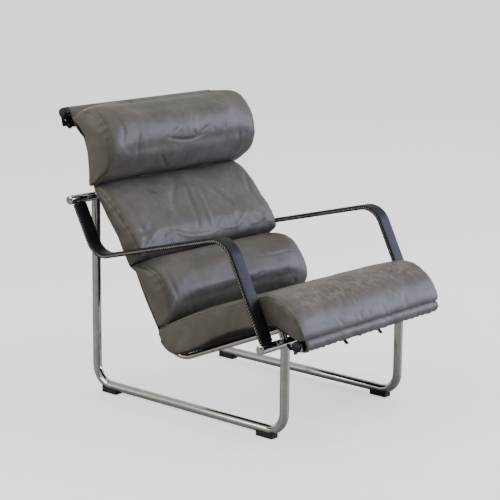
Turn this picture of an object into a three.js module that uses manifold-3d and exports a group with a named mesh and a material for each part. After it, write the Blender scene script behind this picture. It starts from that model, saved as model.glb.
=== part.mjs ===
// Lounge chair: two sled loops of bent steel tube, two cross tubes that carry leather-wrapped
// armrests, two bent rails with a bar at each end, and a leather sling with four sewn pads that
// is belted to the bars. Millimetres, +Z up. The sitter faces -Y, so the sitter's right is -X.
// The origin is on the floor, under the middle of the chair.
import * as THREE from 'three';
import { mergeVertices } from 'three/addons/utils/BufferGeometryUtils.js';
import Module from 'manifold-3d';

const wasm = await Module();
wasm.setup();

// Fit and fineness
const fitGap = 0.3; // left between pieces that touch
const overrun = 2; // how far a cutting body runs past what it cuts
const weldDistance = 1e-4; // corners closer than this are one corner
const tubeSides = 20;
const boreSides = 10;
const bendStep = 9; // degrees of bend for each facet of a bent piece
const beltBendStep = 20;

// Sled loops
const legSpacing = 500;
const sledLength = 695; // between the axes of the front and rear legs
const sledAxisHeight = 21;
const sledBendRadius = 55;
const tubeDiameter = 25;
const tubeWall = 2;

// Cross tubes, and the tube ends that carry the armrests
const rearTubeHeight = 563.5;
const frontTubeHeight = 266.5;
const crossTubeOverhang = 41.5; // past each leg's axis
const crossTubeLength = legSpacing + crossTubeOverhang * 2;
const tubeEndLength = 57.5;
const spigotLength = 30;
const tubeEndBore = 16;
const domeHeight = 3;
const domeRim = 1.2;
const capPlugLength = 9;

// Feet
const footLength = 56;
const footWidth = 26;
const footSetback = 30.5; // from the leg's axis to the end of the foot
const footLip = 6; // how far the foot comes up round the tube
const footBevel = 0.8;
const pegDiameter = 8;
const pegReach = 3; // past the tube's wall

// Armrests
const armWidth = 44;
const armThickness = 12;
const armBevel = 3;
const armBendRadius = 62;
const armInset = 8; // from the end of the tube end to the side of the armrest
const armSetback = 2.5; // of the leather from the tube
const armRearReach = 82.7;
const armRearDrop = 152.8;
const armFrontReach = 134.4;
const armFrontRise = 266.5;
const coreWidth = 38;
const coreThickness = 5;

// Widths of what lies between the armrests
const padClearance = 3; // of a pad's end from the armrest
const armInnerFace = crossTubeLength / 2 + tubeEndLength - armInset - armWidth;
const padWidth = (armInnerFace - padClearance) * 2;
const barOverhang = 8; // past each end of the pads
const barLength = padWidth + barOverhang * 2;
const sheetInset = 5; // of the sling's edge from the pads' ends
const sheetWidth = padWidth - sheetInset * 2;
const sheetCurlWidth = 27; // of the strip along each edge that curls up
const sheetFlatWidth = sheetWidth - sheetCurlWidth * 2;

// Seat rails and the bars at their ends
const seatRise = 22.6; // degrees that the seat rises to the front
const backRise = 60; // degrees of the back from the floor
const noseDrop = 39.6; // degrees that the rails turn down in front
const noseAhead = 13.2; // of the rails' nose corner past the front cross tube, along the seat
const barAboveTube = 237.1; // of the top bar past the rear cross tube, along the back
const noseLength = 84.2; // from the rails' nose corner to the front bar
const railDiameter = 16;
const railWall = 2;
const railRearRadius = 75;
const railNoseRadius = 60;
const frontStandoff = 35.4; // from a cross tube's axis to a rail's axis
const rearStandoff = 51.9;
const standoffDiameter = 20;
const barDiameter = 24;
const barWall = 2;
const barCapThickness = 5;
const barCapDiameter = 26;
const barCapPlug = 15;

// Leather sling
const sheetThickness = 3;
const sheetEdgeLift = 10; // how far its side edges curl up from the rails
const sheetFlareTop = 60; // before each bar the sling leaves the rails to pass over the bar
const sheetFlareFront = 45;
const sheetFlareEnd = 16; // before each bar the sling has reached its height over the bar
const sheetFlareRadius = 60;
const frontHem = 16;
const topHem = 40;
const liftFadeStart = 45; // distance from a bar at which the curl begins
const liftFadeEnd = 120;

// Pads, measured along the rails from their rear corner, and up from the sling
const padDrawIn = 20;
const padCrown = 6;
const padSeamDepth = 2;
const panelBulge = 2.5;
const headBelowBar = 23; // of the roll's upper edge from the top bar
const headLength = 198; // along the back
const headHeight = 131.5;
const headGap = 5; // from the upper pad to the head roll
const lumbarGap = 5.5; // from the lumbar roll to the upper pad
const upperHeight = 46;
const lumbarFrom = 98;
const lumbarLength = 186;
const lumbarHeight = 107;
const seatThickness = 86;
const seatCrest = 5; // how far the seat's top rises behind its middle
const seatRear = 22; // where the seat's top meets the lumbar pad
const seatBackEnd = 85; // how far up the back the seat pad reaches
const seatOverhang = 93; // of its front past the rails' nose corner
const seatFrontRoll = 104;
const seatFrontDepth = 98;
const seatLip = 44; // how far below the rails' line the pad's front reaches
const seatLipOverhang = 91.3; // of the lip past the rails' nose corner

// Belts
const beltWidth = 12;
const beltThickness = 2.2;
const endBeltClear = 0.6; // of a corner belt from the sling's edge
const endBeltAcross = sheetWidth / 2 + endBeltClear + beltWidth / 2;
const endBeltSewnInset = 8; // of its sewn end from the sling's edge
const endBeltSewnAcross = sheetWidth / 2 - endBeltSewnInset;
const endBeltShiftStart = 28; // before the bar it begins to move outward, past the sling's edge
const endBeltSewnLength = 14;
const topTailLength = 30;
const frontTailLength = 10;
const tailBendRadius = 4;
const midBeltAcross = 75;
const midBeltOverlap = 12;
const midBeltClear = 4; // past the hem's end before it turns
const topBeltRun = 60; // over which it crosses from the hem to the sling
const frontBeltRun = 26;
const midBeltSewnLength = 45;
const topMidTailLength = 40;
const frontMidTailLength = 28;
const buckleLength = 14;
const buckleBar = 2;
const buckleMargin = 0.2; // of its frame past each side of the belt
const topBuckleTurn = 35; // degrees round the top bar from the rear of the sling

const chrome = new THREE.MeshStandardMaterial({ color: '#c9cacb', roughness: 0.12, metalness: 1 });
const steel = new THREE.MeshStandardMaterial({ color: '#7d7f82', roughness: 0.45, metalness: 1 });
const greyLeather = new THREE.MeshStandardMaterial({ color: '#68655f', roughness: 0.5, metalness: 0 });
const blackLeather = new THREE.MeshStandardMaterial({ color: '#1b1c1f', roughness: 0.42, metalness: 0 });
const blackPlastic = new THREE.MeshStandardMaterial({ color: '#161616', roughness: 0.55, metalness: 0 });
const blackRubber = new THREE.MeshStandardMaterial({ color: '#1c1b1a', roughness: 0.85, metalness: 0 });
const strapLeather = new THREE.MeshStandardMaterial({ color: '#241c18', roughness: 0.6, metalness: 0 });

const radians = THREE.MathUtils.degToRad;
const tubeRadius = tubeDiameter / 2;
const railRadius = railDiameter / 2;
const barRadius = barDiameter / 2;
const legY = sledLength / 2;

// Points and directions of the side plane are Vector2: x holds the chair's Y, and y holds its Z.
const sidePoint = (y, z) => new THREE.Vector2(y, z);
const leftOf = (direction) => sidePoint(-direction.y, direction.x);
const moved = (point, direction, distance) => point.clone().addScaledVector(direction, distance);

const downward = sidePoint(0, -1);
const rearTube = sidePoint(legY, rearTubeHeight);
const frontTube = sidePoint(-legY, frontTubeHeight);

// The seat runs forward and up, the back runs back and up, and both normals face the sitter.
const seatAlong = sidePoint(-Math.cos(radians(seatRise)), Math.sin(radians(seatRise)));
const seatNormal = sidePoint(Math.sin(radians(seatRise)), Math.cos(radians(seatRise)));
const backAlong = sidePoint(Math.cos(radians(backRise)), Math.sin(radians(backRise)));
const backNormal = leftOf(backAlong);
const noseAlong = sidePoint(-Math.cos(radians(seatRise - noseDrop)), Math.sin(radians(seatRise - noseDrop)));
const noseNormal = leftOf(noseAlong).negate();

/** Where the rails' seat line and back line meet, each held off its own cross tube. */
function railCornerPoint() {
  const seatOffset = frontTube.dot(seatNormal) + frontStandoff;
  const backOffset = rearTube.dot(backNormal) + rearStandoff;
  const determinant = seatNormal.x * backNormal.y - seatNormal.y * backNormal.x;
  return sidePoint(
    (seatOffset * backNormal.y - backOffset * seatNormal.y) / determinant,
    (backOffset * seatNormal.x - seatOffset * backNormal.x) / determinant,
  );
}

const railCorner = railCornerPoint();
const seatLength = frontTube.clone().sub(railCorner).dot(seatAlong) + noseAhead;
const backLength = rearTube.clone().sub(railCorner).dot(backAlong) + barAboveTube;
const noseCorner = moved(railCorner, seatAlong, seatLength);
const frontBar = moved(noseCorner, noseAlong, noseLength);
const topBar = moved(railCorner, backAlong, backLength);

const onSeat = (along, off) => moved(moved(railCorner, seatAlong, along), seatNormal, off);
const onBack = (along, off) => moved(moved(railCorner, backAlong, along), backNormal, off);

/** Stations of a line whose inner corners are rounded: each has a point, a tangent and a left normal. */
function bentLine(corners, stepDegrees = bendStep) {
  const stations = [];
  const add = (point, tangent) => {
    const last = stations.at(-1);
    if (last && last.point.distanceTo(point) < fitGap) stations.pop();
    stations.push({ point, tangent, normal: leftOf(tangent) });
  };
  const heading = (index) => corners[index + 1].at.clone().sub(corners[index].at).normalize();
  add(corners[0].at, heading(0));
  for (let index = 1; index < corners.length - 1; index += 1) {
    const before = heading(index - 1);
    const after = heading(index);
    const turn = Math.atan2(before.cross(after), before.dot(after));
    const { at, radius } = corners[index];
    const steps = Math.max(1, Math.round(Math.abs(turn) / radians(stepDegrees)));
    const start = moved(at, before, -radius * Math.tan(Math.abs(turn) / 2));
    const centre = moved(start, leftOf(before), radius * Math.sign(turn));
    for (let step = 0; step <= steps; step += 1) {
      const angle = (turn * step) / steps;
      add(start.clone().rotateAround(centre, angle), before.clone().rotateAround(sidePoint(0, 0), angle));
    }
  }
  add(corners.at(-1).at, heading(corners.length - 2));
  return stations;
}

/** A path that steps from station to station, so that straight runs cost no facets. */
class StationPath extends THREE.Curve {
  constructor(stations) {
    super();
    this.stations = stations;
  }

  station(share) {
    return this.stations[Math.round(share * (this.stations.length - 1))];
  }

  getPointAt(share, target = new THREE.Vector3()) {
    const { point } = this.station(share);
    return target.set(0, point.x, point.y);
  }

  getTangentAt(share, target = new THREE.Vector3()) {
    const { tangent } = this.station(share);
    return target.set(0, tangent.x, tangent.y);
  }
}

/** Corners of a regular polygon round the origin. */
function polygon(radius, sides) {
  return Array.from({ length: sides }, (_, index) => {
    const angle = (index / sides) * Math.PI * 2;
    return new THREE.Vector2(radius * Math.cos(angle), radius * Math.sin(angle));
  });
}

/** The cross-section of a tube, or of a rod where the wall is left out. */
function tubeSection(diameter, wall) {
  const section = new THREE.Shape(polygon(diameter / 2, tubeSides));
  if (wall) section.holes.push(new THREE.Path(polygon(diameter / 2 - wall, boreSides)));
  return section;
}

/** A tube or rod that follows stations in the side plane. */
function tubeAlong(stations, diameter, wall) {
  const extrudePath = new StationPath(stations);
  return new THREE.ExtrudeGeometry(tubeSection(diameter, wall), { steps: stations.length - 1, extrudePath });
}

/** A straight tube or rod across the chair, centred on a point of the side plane. */
function tubeAcross(point, diameter, wall, length) {
  return new THREE.ExtrudeGeometry(tubeSection(diameter, wall), { depth: length, bevelEnabled: false })
    .translate(0, 0, -length / 2)
    .rotateY(Math.PI / 2)
    .translate(0, point.x, point.y);
}

/** A side-plane outline given a width across the chair, centred, with a bevel round its two faces. */
function plateAcross(outline, width, bevel = 0) {
  const matrix = new THREE.Matrix4().set(0, 0, 1, 0, 1, 0, 0, 0, 0, 1, 0, 0, 0, 0, 0, 1);
  return new THREE.ExtrudeGeometry(new THREE.Shape(outline), {
    depth: width - bevel * 2,
    bevelEnabled: bevel > 0,
    bevelThickness: bevel,
    bevelSize: bevel,
    bevelOffset: -bevel,
    bevelSegments: 2,
  })
    .translate(0, 0, bevel - width / 2)
    .applyMatrix4(matrix);
}

/** The two faces of a strip of one thickness along stations; its front returns. */
function stripFaces(stations, thickness) {
  const front = stations.map(({ point, normal }) => moved(point, normal, thickness / 2));
  const back = stations.map(({ point, normal }) => moved(point, normal, -thickness / 2));
  return { back, front: front.reverse() };
}

/** The closed outline of a strip. */
function stripOutline(stations, thickness) {
  const { back, front } = stripFaces(stations, thickness);
  return [...back, ...front];
}

function solidOf(geometry) {
  const bare = geometry.clone();
  bare.deleteAttribute('normal');
  bare.deleteAttribute('uv');
  const merged = mergeVertices(bare, weldDistance);
  return new wasm.Manifold(
    new wasm.Mesh({
      numProp: 3,
      vertProperties: new Float32Array(merged.attributes.position.array),
      triVerts: new Uint32Array(merged.index.array),
    }),
  );
}

function geometryOf(solid) {
  const { vertProperties, triVerts } = solid.getMesh();
  const geometry = new THREE.BufferGeometry();
  geometry.setAttribute('position', new THREE.BufferAttribute(new Float32Array(vertProperties), 3));
  geometry.setIndex(new THREE.BufferAttribute(new Uint32Array(triVerts), 1));
  geometry.computeVertexNormals();
  return geometry;
}

function cut(body, ...tools) {
  return geometryOf(tools.reduce((rest, tool) => rest.subtract(solidOf(tool)), solidOf(body)));
}

function joined(body, ...more) {
  return geometryOf(more.reduce((sum, piece) => sum.add(solidOf(piece)), solidOf(body)));
}

/** Share of its length at each point of a line. */
function lengthShares(line) {
  const lengths = line.map((point, index) => (index ? point.distanceTo(line[index - 1]) : 0));
  const total = lengths.reduce((sum, length) => sum + length, 0);
  let run = 0;
  return lengths.map((length) => {
    run += length;
    return run / total;
  });
}

/** The point at a share of a line's length. */
function pointAtShare(line, share) {
  const shares = lengthShares(line);
  const next = Math.max(1, shares.findIndex((reached) => reached >= share));
  const within = (share - shares[next - 1]) / (shares[next] - shares[next - 1]);
  return line[next - 1].clone().lerp(line[next], within);
}

/** Triangles that fill a ring made of a back line and a front line that returns. */
function fillRing({ back, front }) {
  const returning = [...front].reverse();
  const backShares = lengthShares(back);
  const frontShares = lengthShares(returning);
  const frontCorner = (step) => back.length + front.length - 1 - step;
  const triangles = [];
  let i = 0;
  let j = 0;
  while (i < back.length - 1 || j < front.length - 1) {
    if (j === front.length - 1 || (i < back.length - 1 && backShares[i + 1] <= frontShares[j + 1])) {
      triangles.push([i, i + 1, frontCorner(j)]);
      i += 1;
    } else {
      triangles.push([i, frontCorner(j + 1), frontCorner(j)]);
      j += 1;
    }
  }
  return triangles;
}

/** A closed skin through rings of side-plane points, one ring for each place across the chair. */
function skinAcross(rings) {
  const loops = rings.map(({ back, front }) => [...back, ...front]);
  const count = loops[0].length;
  const positions = loops.flatMap((loop, ring) => loop.flatMap((point) => [rings[ring].x, point.x, point.y]));
  const index = [];
  for (let ring = 0; ring < rings.length - 1; ring += 1) {
    for (let corner = 0; corner < count; corner += 1) {
      const here = ring * count + corner;
      const next = ring * count + ((corner + 1) % count);
      index.push(here, next, next + count, here, next + count, here + count);
    }
  }
  const lastRing = (rings.length - 1) * count;
  for (const [a, b, c] of fillRing(rings[0])) index.push(c, b, a);
  for (const [a, b, c] of fillRing(rings.at(-1))) index.push(lastRing + a, lastRing + b, lastRing + c);
  const geometry = new THREE.BufferGeometry();
  geometry.setAttribute('position', new THREE.Float32BufferAttribute(positions, 3));
  geometry.setIndex(index);
  geometry.computeVertexNormals();
  return geometry;
}

const chair = new THREE.Group();

function addMesh(name, geometry, material, x = 0) {
  const mesh = new THREE.Mesh(geometry, material);
  mesh.name = name;
  mesh.position.x = x;
  chair.add(mesh);
  return mesh;
}

const sides = [
  { side: 'right', sign: -1 },
  { side: 'left', sign: 1 },
];

// The sled's corners in the side plane, from the rear cross tube down and round to the front one
const sledLine = bentLine([
  { at: rearTube },
  { at: sidePoint(legY, sledAxisHeight), radius: sledBendRadius },
  { at: sidePoint(-legY, sledAxisHeight), radius: sledBendRadius },
  { at: frontTube },
]);
const footMiddle = legY - footSetback - footLength / 2;

/** A cutter for what lies against a cross tube. */
const crossTubeRoom = (point) => tubeAcross(point, tubeDiameter + fitGap * 2, 0, armWidth + overrun * 2);

/** An upright peg or hole under the sled tube at a foot. */
function pegBody(y, diameter, bottom, top) {
  const peg = new THREE.CylinderGeometry(diameter / 2, diameter / 2, top - bottom, boreSides);
  return peg.rotateX(Math.PI / 2).translate(0, y, (bottom + top) / 2);
}

function addSledLoops() {
  const pegHoles = [footMiddle, -footMiddle].map((y) =>
    pegBody(y, pegDiameter + fitGap * 2, 0, sledAxisHeight - tubeRadius + tubeWall * 2),
  );
  const geometry = cut(
    tubeAlong(sledLine, tubeDiameter, tubeWall),
    crossTubeRoom(rearTube),
    crossTubeRoom(frontTube),
    ...pegHoles,
  );
  for (const { side, sign } of sides) addMesh(`sled_loop_${side}`, geometry, chrome, (sign * legSpacing) / 2);
}

/** A foot: flat below, hollowed for the tube above, and as long as its seat in the bend. */
function footGeometry() {
  const bendCentre = sidePoint(legY - sledBendRadius, sledAxisHeight + sledBendRadius);
  const outerY = legY - footSetback;
  const lipRadius = sledBendRadius + tubeRadius - footLip;
  const lipAngle = Math.asin((outerY - bendCentre.x) / lipRadius);
  const outline = [sidePoint(outerY - footLength, 0), sidePoint(outerY, 0)];
  const steps = Math.ceil(lipAngle / radians(bendStep));
  for (let step = steps; step >= 0; step -= 1) {
    const angle = (lipAngle * step) / steps;
    outline.push(
      sidePoint(bendCentre.x + lipRadius * Math.sin(angle), bendCentre.y - lipRadius * Math.cos(angle)),
    );
  }
  outline.push(sidePoint(outerY - footLength, sledAxisHeight - tubeRadius + footLip));
  const block = plateAcross(outline, footWidth, footBevel);
  const hollowed = cut(block, tubeAlong(sledLine, tubeDiameter + fitGap * 2));
  const wallInside = sledAxisHeight - tubeRadius + tubeWall;
  return joined(hollowed, pegBody(footMiddle, pegDiameter, footBevel * 2, wallInside + pegReach));
}

function addFeet() {
  const rear = footGeometry();
  const front = rear.clone().rotateZ(Math.PI);
  for (const { side, sign } of sides) {
    addMesh(`foot_rear_${side}`, rear, blackRubber, (sign * legSpacing) / 2);
    addMesh(`foot_front_${side}`, front, blackRubber, (sign * legSpacing) / 2);
  }
}

/** A round body on an axis across the chair, turned from a profile of radius and distance outward. */
function turnedAcross(profile, point, sign) {
  const points = profile.map(([radius, distance]) => new THREE.Vector2(radius, distance));
  const geometry = new THREE.LatheGeometry(points, tubeSides);
  return geometry.rotateZ((-sign * Math.PI) / 2).translate(0, point.x, point.y);
}

/** The short tube that an armrest is fixed to, with its spigot in the bore of the cross tube. */
function tubeEndGeometry(point, sign) {
  const start = crossTubeLength / 2 + fitGap;
  const spigotRadius = tubeRadius - tubeWall - fitGap * 2;
  const boreRadius = tubeEndBore / 2;
  const profile = [
    [boreRadius, start - spigotLength],
    [spigotRadius, start - spigotLength],
    [spigotRadius, start],
    [tubeRadius, start],
    [tubeRadius, start + tubeEndLength],
    [boreRadius, start + tubeEndLength],
    [boreRadius, start - spigotLength],
  ];
  return turnedAcross(profile, point, sign);
}

/** A domed cap that closes the end of a tube, with a plug in its bore. */
function domeCapGeometry(point, sign) {
  const seat = crossTubeLength / 2 + fitGap + tubeEndLength + fitGap;
  const plugRadius = tubeEndBore / 2 - fitGap;
  const profile = [
    [0, seat - capPlugLength],
    [plugRadius, seat - capPlugLength],
    [plugRadius, seat],
    [tubeRadius, seat],
  ];
  const domeSteps = 3;
  for (let step = 0; step <= domeSteps; step += 1) {
    const angle = ((step / domeSteps) * Math.PI) / 2;
    profile.push([
      step === domeSteps ? 0 : tubeRadius * Math.cos(angle),
      seat + domeRim + domeHeight * Math.sin(angle),
    ]);
  }
  return turnedAcross(profile, point, sign);
}

function addCrossTubes() {
  for (const [place, point] of [['rear', rearTube], ['front', frontTube]]) {
    addMesh(`cross_tube_${place}`, tubeAcross(point, tubeDiameter, tubeWall, crossTubeLength), chrome);
    for (const { side, sign } of sides) {
      addMesh(`tube_end_${place}_${side}`, tubeEndGeometry(point, sign), chrome);
      addMesh(`dome_cap_${place}_${side}`, domeCapGeometry(point, sign), chrome);
    }
  }
}

// The armrest's line, from the rear cross tube down, forward along the arm, and down to the front tube
const armRearCorner = sidePoint(legY - armRearReach, rearTubeHeight - armRearDrop);
const armFrontCorner = sidePoint(-legY + armFrontReach, frontTubeHeight + armFrontRise);

function armLine(setback) {
  const rearHeading = armRearCorner.clone().sub(rearTube).normalize();
  const frontHeading = armFrontCorner.clone().sub(frontTube).normalize();
  return bentLine([
    { at: moved(rearTube, rearHeading, setback) },
    { at: armRearCorner, radius: armBendRadius },
    { at: armFrontCorner, radius: armBendRadius },
    { at: moved(frontTube, frontHeading, setback) },
  ]);
}

function addArmrests() {
  const core = cut(
    plateAcross(stripOutline(armLine(0), coreThickness), coreWidth),
    crossTubeRoom(rearTube),
    crossTubeRoom(frontTube),
  );
  const cover = cut(
    plateAcross(stripOutline(armLine(tubeRadius + armSetback), armThickness), armWidth, armBevel),
    plateAcross(stripOutline(armLine(0), coreThickness + fitGap * 2), coreWidth + fitGap * 2),
  );
  const across = crossTubeLength / 2 + tubeEndLength - armInset - armWidth / 2;
  for (const { side, sign } of sides) {
    addMesh(`armrest_core_${side}`, core, steel, sign * across);
    addMesh(`armrest_cover_${side}`, cover, blackLeather, sign * across);
  }
}

/** A cutter for what lies against a bar. */
const barRoom = (point) => tubeAcross(point, barDiameter + fitGap * 2, 0, railDiameter + overrun * 2);

function addRails() {
  const railLine = bentLine([
    { at: frontBar },
    { at: noseCorner, radius: railNoseRadius },
    { at: railCorner, radius: railRearRadius },
    { at: topBar },
  ]);
  const rail = cut(tubeAlong(railLine, railDiameter, railWall), barRoom(frontBar), barRoom(topBar));
  const railRoom = tubeAlong(railLine, railDiameter + fitGap * 2);
  const sledRoom = tubeAlong(sledLine, tubeDiameter + fitGap * 2);
  const standoffs = [
    ['front', frontTube, seatNormal, frontStandoff],
    ['rear', rearTube, backNormal, rearStandoff],
  ].map(([place, tube, normal, length]) => {
    const post = tubeAlong(bentLine([{ at: tube }, { at: moved(tube, normal, length) }]), standoffDiameter);
    return [place, cut(post, crossTubeRoom(tube), railRoom, sledRoom)];
  });
  for (const { side, sign } of sides) {
    addMesh(`seat_rail_${side}`, rail, chrome, (sign * legSpacing) / 2);
    for (const [place, geometry] of standoffs) {
      addMesh(`standoff_${place}_${side}`, geometry, chrome, (sign * legSpacing) / 2);
    }
  }
}

/** A black plug with a flat head in the end of a bar. */
function barCapGeometry(point, sign) {
  const seat = barLength / 2 + fitGap;
  const plugRadius = barRadius - barWall - fitGap * 2;
  const headRadius = barCapDiameter / 2;
  const profile = [
    [0, seat - barCapPlug],
    [plugRadius, seat - barCapPlug],
    [plugRadius, seat],
    [headRadius, seat],
    [headRadius, seat + barCapThickness - fitGap * 3],
    [headRadius - fitGap * 3, seat + barCapThickness],
    [0, seat + barCapThickness],
  ];
  return turnedAcross(profile, point, sign);
}

function addBars() {
  for (const [place, point] of [['top', topBar], ['front', frontBar]]) {
    addMesh(`${place}_bar`, tubeAcross(point, barDiameter, barWall, barLength), chrome);
    for (const { side, sign } of sides) {
      addMesh(`bar_cap_${place}_${side}`, barCapGeometry(point, sign), blackPlastic);
    }
  }
}

// The sling's middle line, from its front hem over the front bar, along the rails and over the top bar
const sheetOff = railRadius + fitGap + sheetThickness / 2;
const wrapOff = barRadius + fitGap + sheetThickness / 2;
const nearBar = (bar, along, normal, distance, off) => moved(moved(bar, along, distance), normal, off);
const seatAndBackCorner = (off) => {
  const halfTurn = Math.acos(seatAlong.dot(backAlong)) / 2;
  const inward = seatAlong.clone().add(backAlong).normalize();
  return moved(railCorner, inward, off / Math.sin(halfTurn));
};
const noseAndSeatCorner = (off) => {
  const inward = seatNormal.clone().add(noseNormal).normalize();
  return moved(noseCorner, inward, off / Math.cos(radians(noseDrop) / 2));
};
const sheetLine = bentLine([
  { at: nearBar(frontBar, noseAlong, noseNormal, -frontHem, -wrapOff) },
  { at: nearBar(frontBar, noseAlong, noseNormal, wrapOff, -wrapOff), radius: wrapOff },
  { at: nearBar(frontBar, noseAlong, noseNormal, wrapOff, wrapOff), radius: wrapOff },
  { at: nearBar(frontBar, noseAlong, noseNormal, -sheetFlareEnd, wrapOff), radius: sheetFlareRadius },
  { at: nearBar(frontBar, noseAlong, noseNormal, -sheetFlareFront, sheetOff), radius: sheetFlareRadius },
  { at: noseAndSeatCorner(sheetOff), radius: railNoseRadius + sheetOff },
  { at: onSeat(seatLength + noseLength - liftFadeEnd, sheetOff), radius: 0 },
  { at: seatAndBackCorner(sheetOff), radius: railRearRadius - sheetOff },
  { at: onBack(backLength - liftFadeEnd, sheetOff), radius: 0 },
  { at: nearBar(topBar, backAlong, backNormal, -sheetFlareTop, sheetOff), radius: sheetFlareRadius },
  { at: nearBar(topBar, backAlong, backNormal, -sheetFlareEnd, wrapOff), radius: sheetFlareRadius },
  { at: nearBar(topBar, backAlong, backNormal, wrapOff, wrapOff), radius: wrapOff },
  { at: nearBar(topBar, backAlong, backNormal, wrapOff, -wrapOff), radius: wrapOff },
  { at: nearBar(topBar, backAlong, backNormal, -topHem, -wrapOff) },
]);

/** Share of its full curl that the sling has at a point, less and less towards the bars. */
function curlShare(point) {
  const distance = Math.min(point.distanceTo(topBar), point.distanceTo(frontBar));
  return THREE.MathUtils.smoothstep(distance, liftFadeStart, liftFadeEnd);
}

for (const station of sheetLine) station.curl = curlShare(station.point);

/** How far the sling curls up at a place across the chair. */
function edgeLift(x, curl) {
  const beyond = Math.max(0, Math.abs(x) - sheetFlatWidth / 2);
  return (sheetEdgeLift * curl * beyond) / (sheetWidth / 2 - sheetFlatWidth / 2);
}

/** The sling, or with a margin the room that it needs. */
function slingGeometry(width, thickness) {
  const places = [-width / 2, -sheetFlatWidth / 2, sheetFlatWidth / 2, width / 2];
  const rings = places.map((x) => {
    const lifted = sheetLine.map(({ point, normal, curl }) => ({
      point: moved(point, normal, edgeLift(x, curl)),
      normal,
    }));
    return { x, ...stripFaces(lifted, thickness) };
  });
  return skinAcross(rings);
}

function addSling() {
  addMesh('sling_sheet', slingGeometry(sheetWidth, sheetThickness), greyLeather);
}

/** Stations of the sling between the places nearest to two points. */
function sheetBetween(from, to) {
  const nearest = (target) => {
    let best = { distance: Infinity };
    for (let index = 0; index < sheetLine.length - 1; index += 1) {
      const { point, normal, curl } = sheetLine[index];
      const next = sheetLine[index + 1];
      const run = next.point.clone().sub(point);
      const share = THREE.MathUtils.clamp(target.clone().sub(point).dot(run) / run.lengthSq(), 0, 1);
      const found = moved(point, run, share);
      const distance = found.distanceTo(target);
      if (distance < best.distance) {
        const blended = normal.clone().lerp(next.normal, share).normalize();
        const station = { point: found, normal: blended, curl: THREE.MathUtils.lerp(curl, next.curl, share) };
        best = { distance, index, station };
      }
    }
    return best;
  };
  const first = nearest(from);
  const last = nearest(to);
  const apart = ({ point }, other) => point.distanceTo(other.station.point) > fitGap;
  const inner = sheetLine
    .slice(first.index + 1, last.index + 1)
    .filter((station) => apart(station, first) && apart(station, last));
  return [first.station, ...inner, last.station];
}

// Rings across a pad: how far each lies inside the pad's end, as a length, and its share of the draw-in
const seamInset = 8;
const padEnds = [
  { inside: 0, drawnShare: 1, seam: 0 },
  { inside: seamInset / 2, drawnShare: 0.9, seam: 0 },
  { inside: seamInset, drawnShare: 0.8, seam: 1 },
  { inside: seamInset * 1.6, drawnShare: 0.58, seam: 0 },
  { inside: seamInset * 5, drawnShare: 0.14, seam: 0 },
];
const padMiddleShares = [0.62, 0.25];
const panelShare = 0.16; // how far the flat middle of a pad's end panel lies inside its outline

/** The flat middle of an end panel: each point moves towards the line facing it. */
function panelRing({ back, front }, x) {
  const inward = (line, facing) => {
    const shares = lengthShares(line);
    return line.map((point, index) => point.clone().lerp(pointAtShare(facing, shares[index]), panelShare));
  };
  return { x, back: inward(back, [...front].reverse()), front: inward(front, [...back].reverse()) };
}

/** A pad on the sling: its back follows the sling, and its front is an outline with a weight at each point. */
function padGeometry(back, front, drawIn, crown) {
  const halfWidth = padWidth / 2;
  const outward = front.map(({ at }, index) => {
    const before = front[Math.max(0, index - 1)].at;
    const after = front[Math.min(front.length - 1, index + 1)].at;
    return leftOf(after.clone().sub(before).normalize()).negate();
  });
  const ringAt = (x, drawnShare, seam) => {
    const swell = crown * (1 - (x / halfWidth) ** 2) - drawIn * drawnShare - padSeamDepth * seam;
    return {
      x,
      back: back.map(({ point, normal, curl }) => moved(point, normal, sheetThickness / 2 + edgeLift(x, curl))),
      front: front.map(({ at, weight }, index) => moved(at, outward[index], swell * weight)),
    };
  };
  const half = [
    ...padEnds.map(({ inside, drawnShare, seam }) => ringAt(halfWidth - inside, drawnShare, seam)),
    ringAt(sheetFlatWidth / 2, padEnds.at(-1).drawnShare, 0),
    ...padMiddleShares.map((share) => ringAt(halfWidth * share, 0, 0)),
  ].sort((one, other) => one.x - other.x);
  half.push(panelRing(half.at(-1), halfWidth + panelBulge));
  const mirrored = half.map((ring) => ({ ...ring, x: -ring.x })).reverse();
  const room = slingGeometry(padWidth + padDrawIn, sheetThickness + fitGap * 2);
  return cut(skinAcross([...mirrored, ...half]), room);
}

/** The front of a roll or pad on the back: a rounded hump, which may taper upward or lean down. */
function humpFront({ from, to, height, squareness, taper = 0, leanShare = 0, steps }) {
  const middle = (from + to) / 2;
  const half = (to - from) / 2;
  const base = sheetOff + sheetThickness / 2 + fitGap;
  return Array.from({ length: steps - 1 }, (_, index) => {
    const angle = (Math.PI * (index + 1)) / steps;
    const reach = Math.sign(Math.cos(angle)) * Math.abs(Math.cos(angle)) ** (2 / squareness);
    const rise = Math.sin(angle) ** (2 / squareness) * height * (1 - taper * reach);
    const along = middle + half * reach - (leanShare * rise * (1 - reach)) / 2;
    return { at: onBack(along, base + rise), weight: Math.sin(angle) ** 2 };
  });
}

/** The front of the seat pad: along its top, round its front edge and down to the front bar. */
function seatFront() {
  const top = sheetOff + sheetThickness / 2 + fitGap + seatThickness;
  const reach = seatLength + seatOverhang;
  const rollStart = reach - seatFrontRoll;
  const topShares = [0, 0.12, 0.36, 0.64, 0.88];
  const crestShares = [0, 0.6, 1, 0.6, 0.15];
  const points = topShares.map((share, index) => ({
    at: onSeat(THREE.MathUtils.lerp(seatRear, rollStart, share), top + seatCrest * crestShares[index]),
    weight: Math.min(1, index / 2),
  }));
  const rollSteps = 7;
  for (let step = 0; step <= rollSteps; step += 1) {
    const angle = ((step / rollSteps) * Math.PI) / 2;
    points.push({
      at: onSeat(rollStart + seatFrontRoll * Math.sin(angle), top - seatFrontDepth * (1 - Math.cos(angle))),
      weight: 1,
    });
  }
  points.push({ at: onSeat(seatLength + seatLipOverhang, -seatLip), weight: 1 });
  return points;
}

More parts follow.
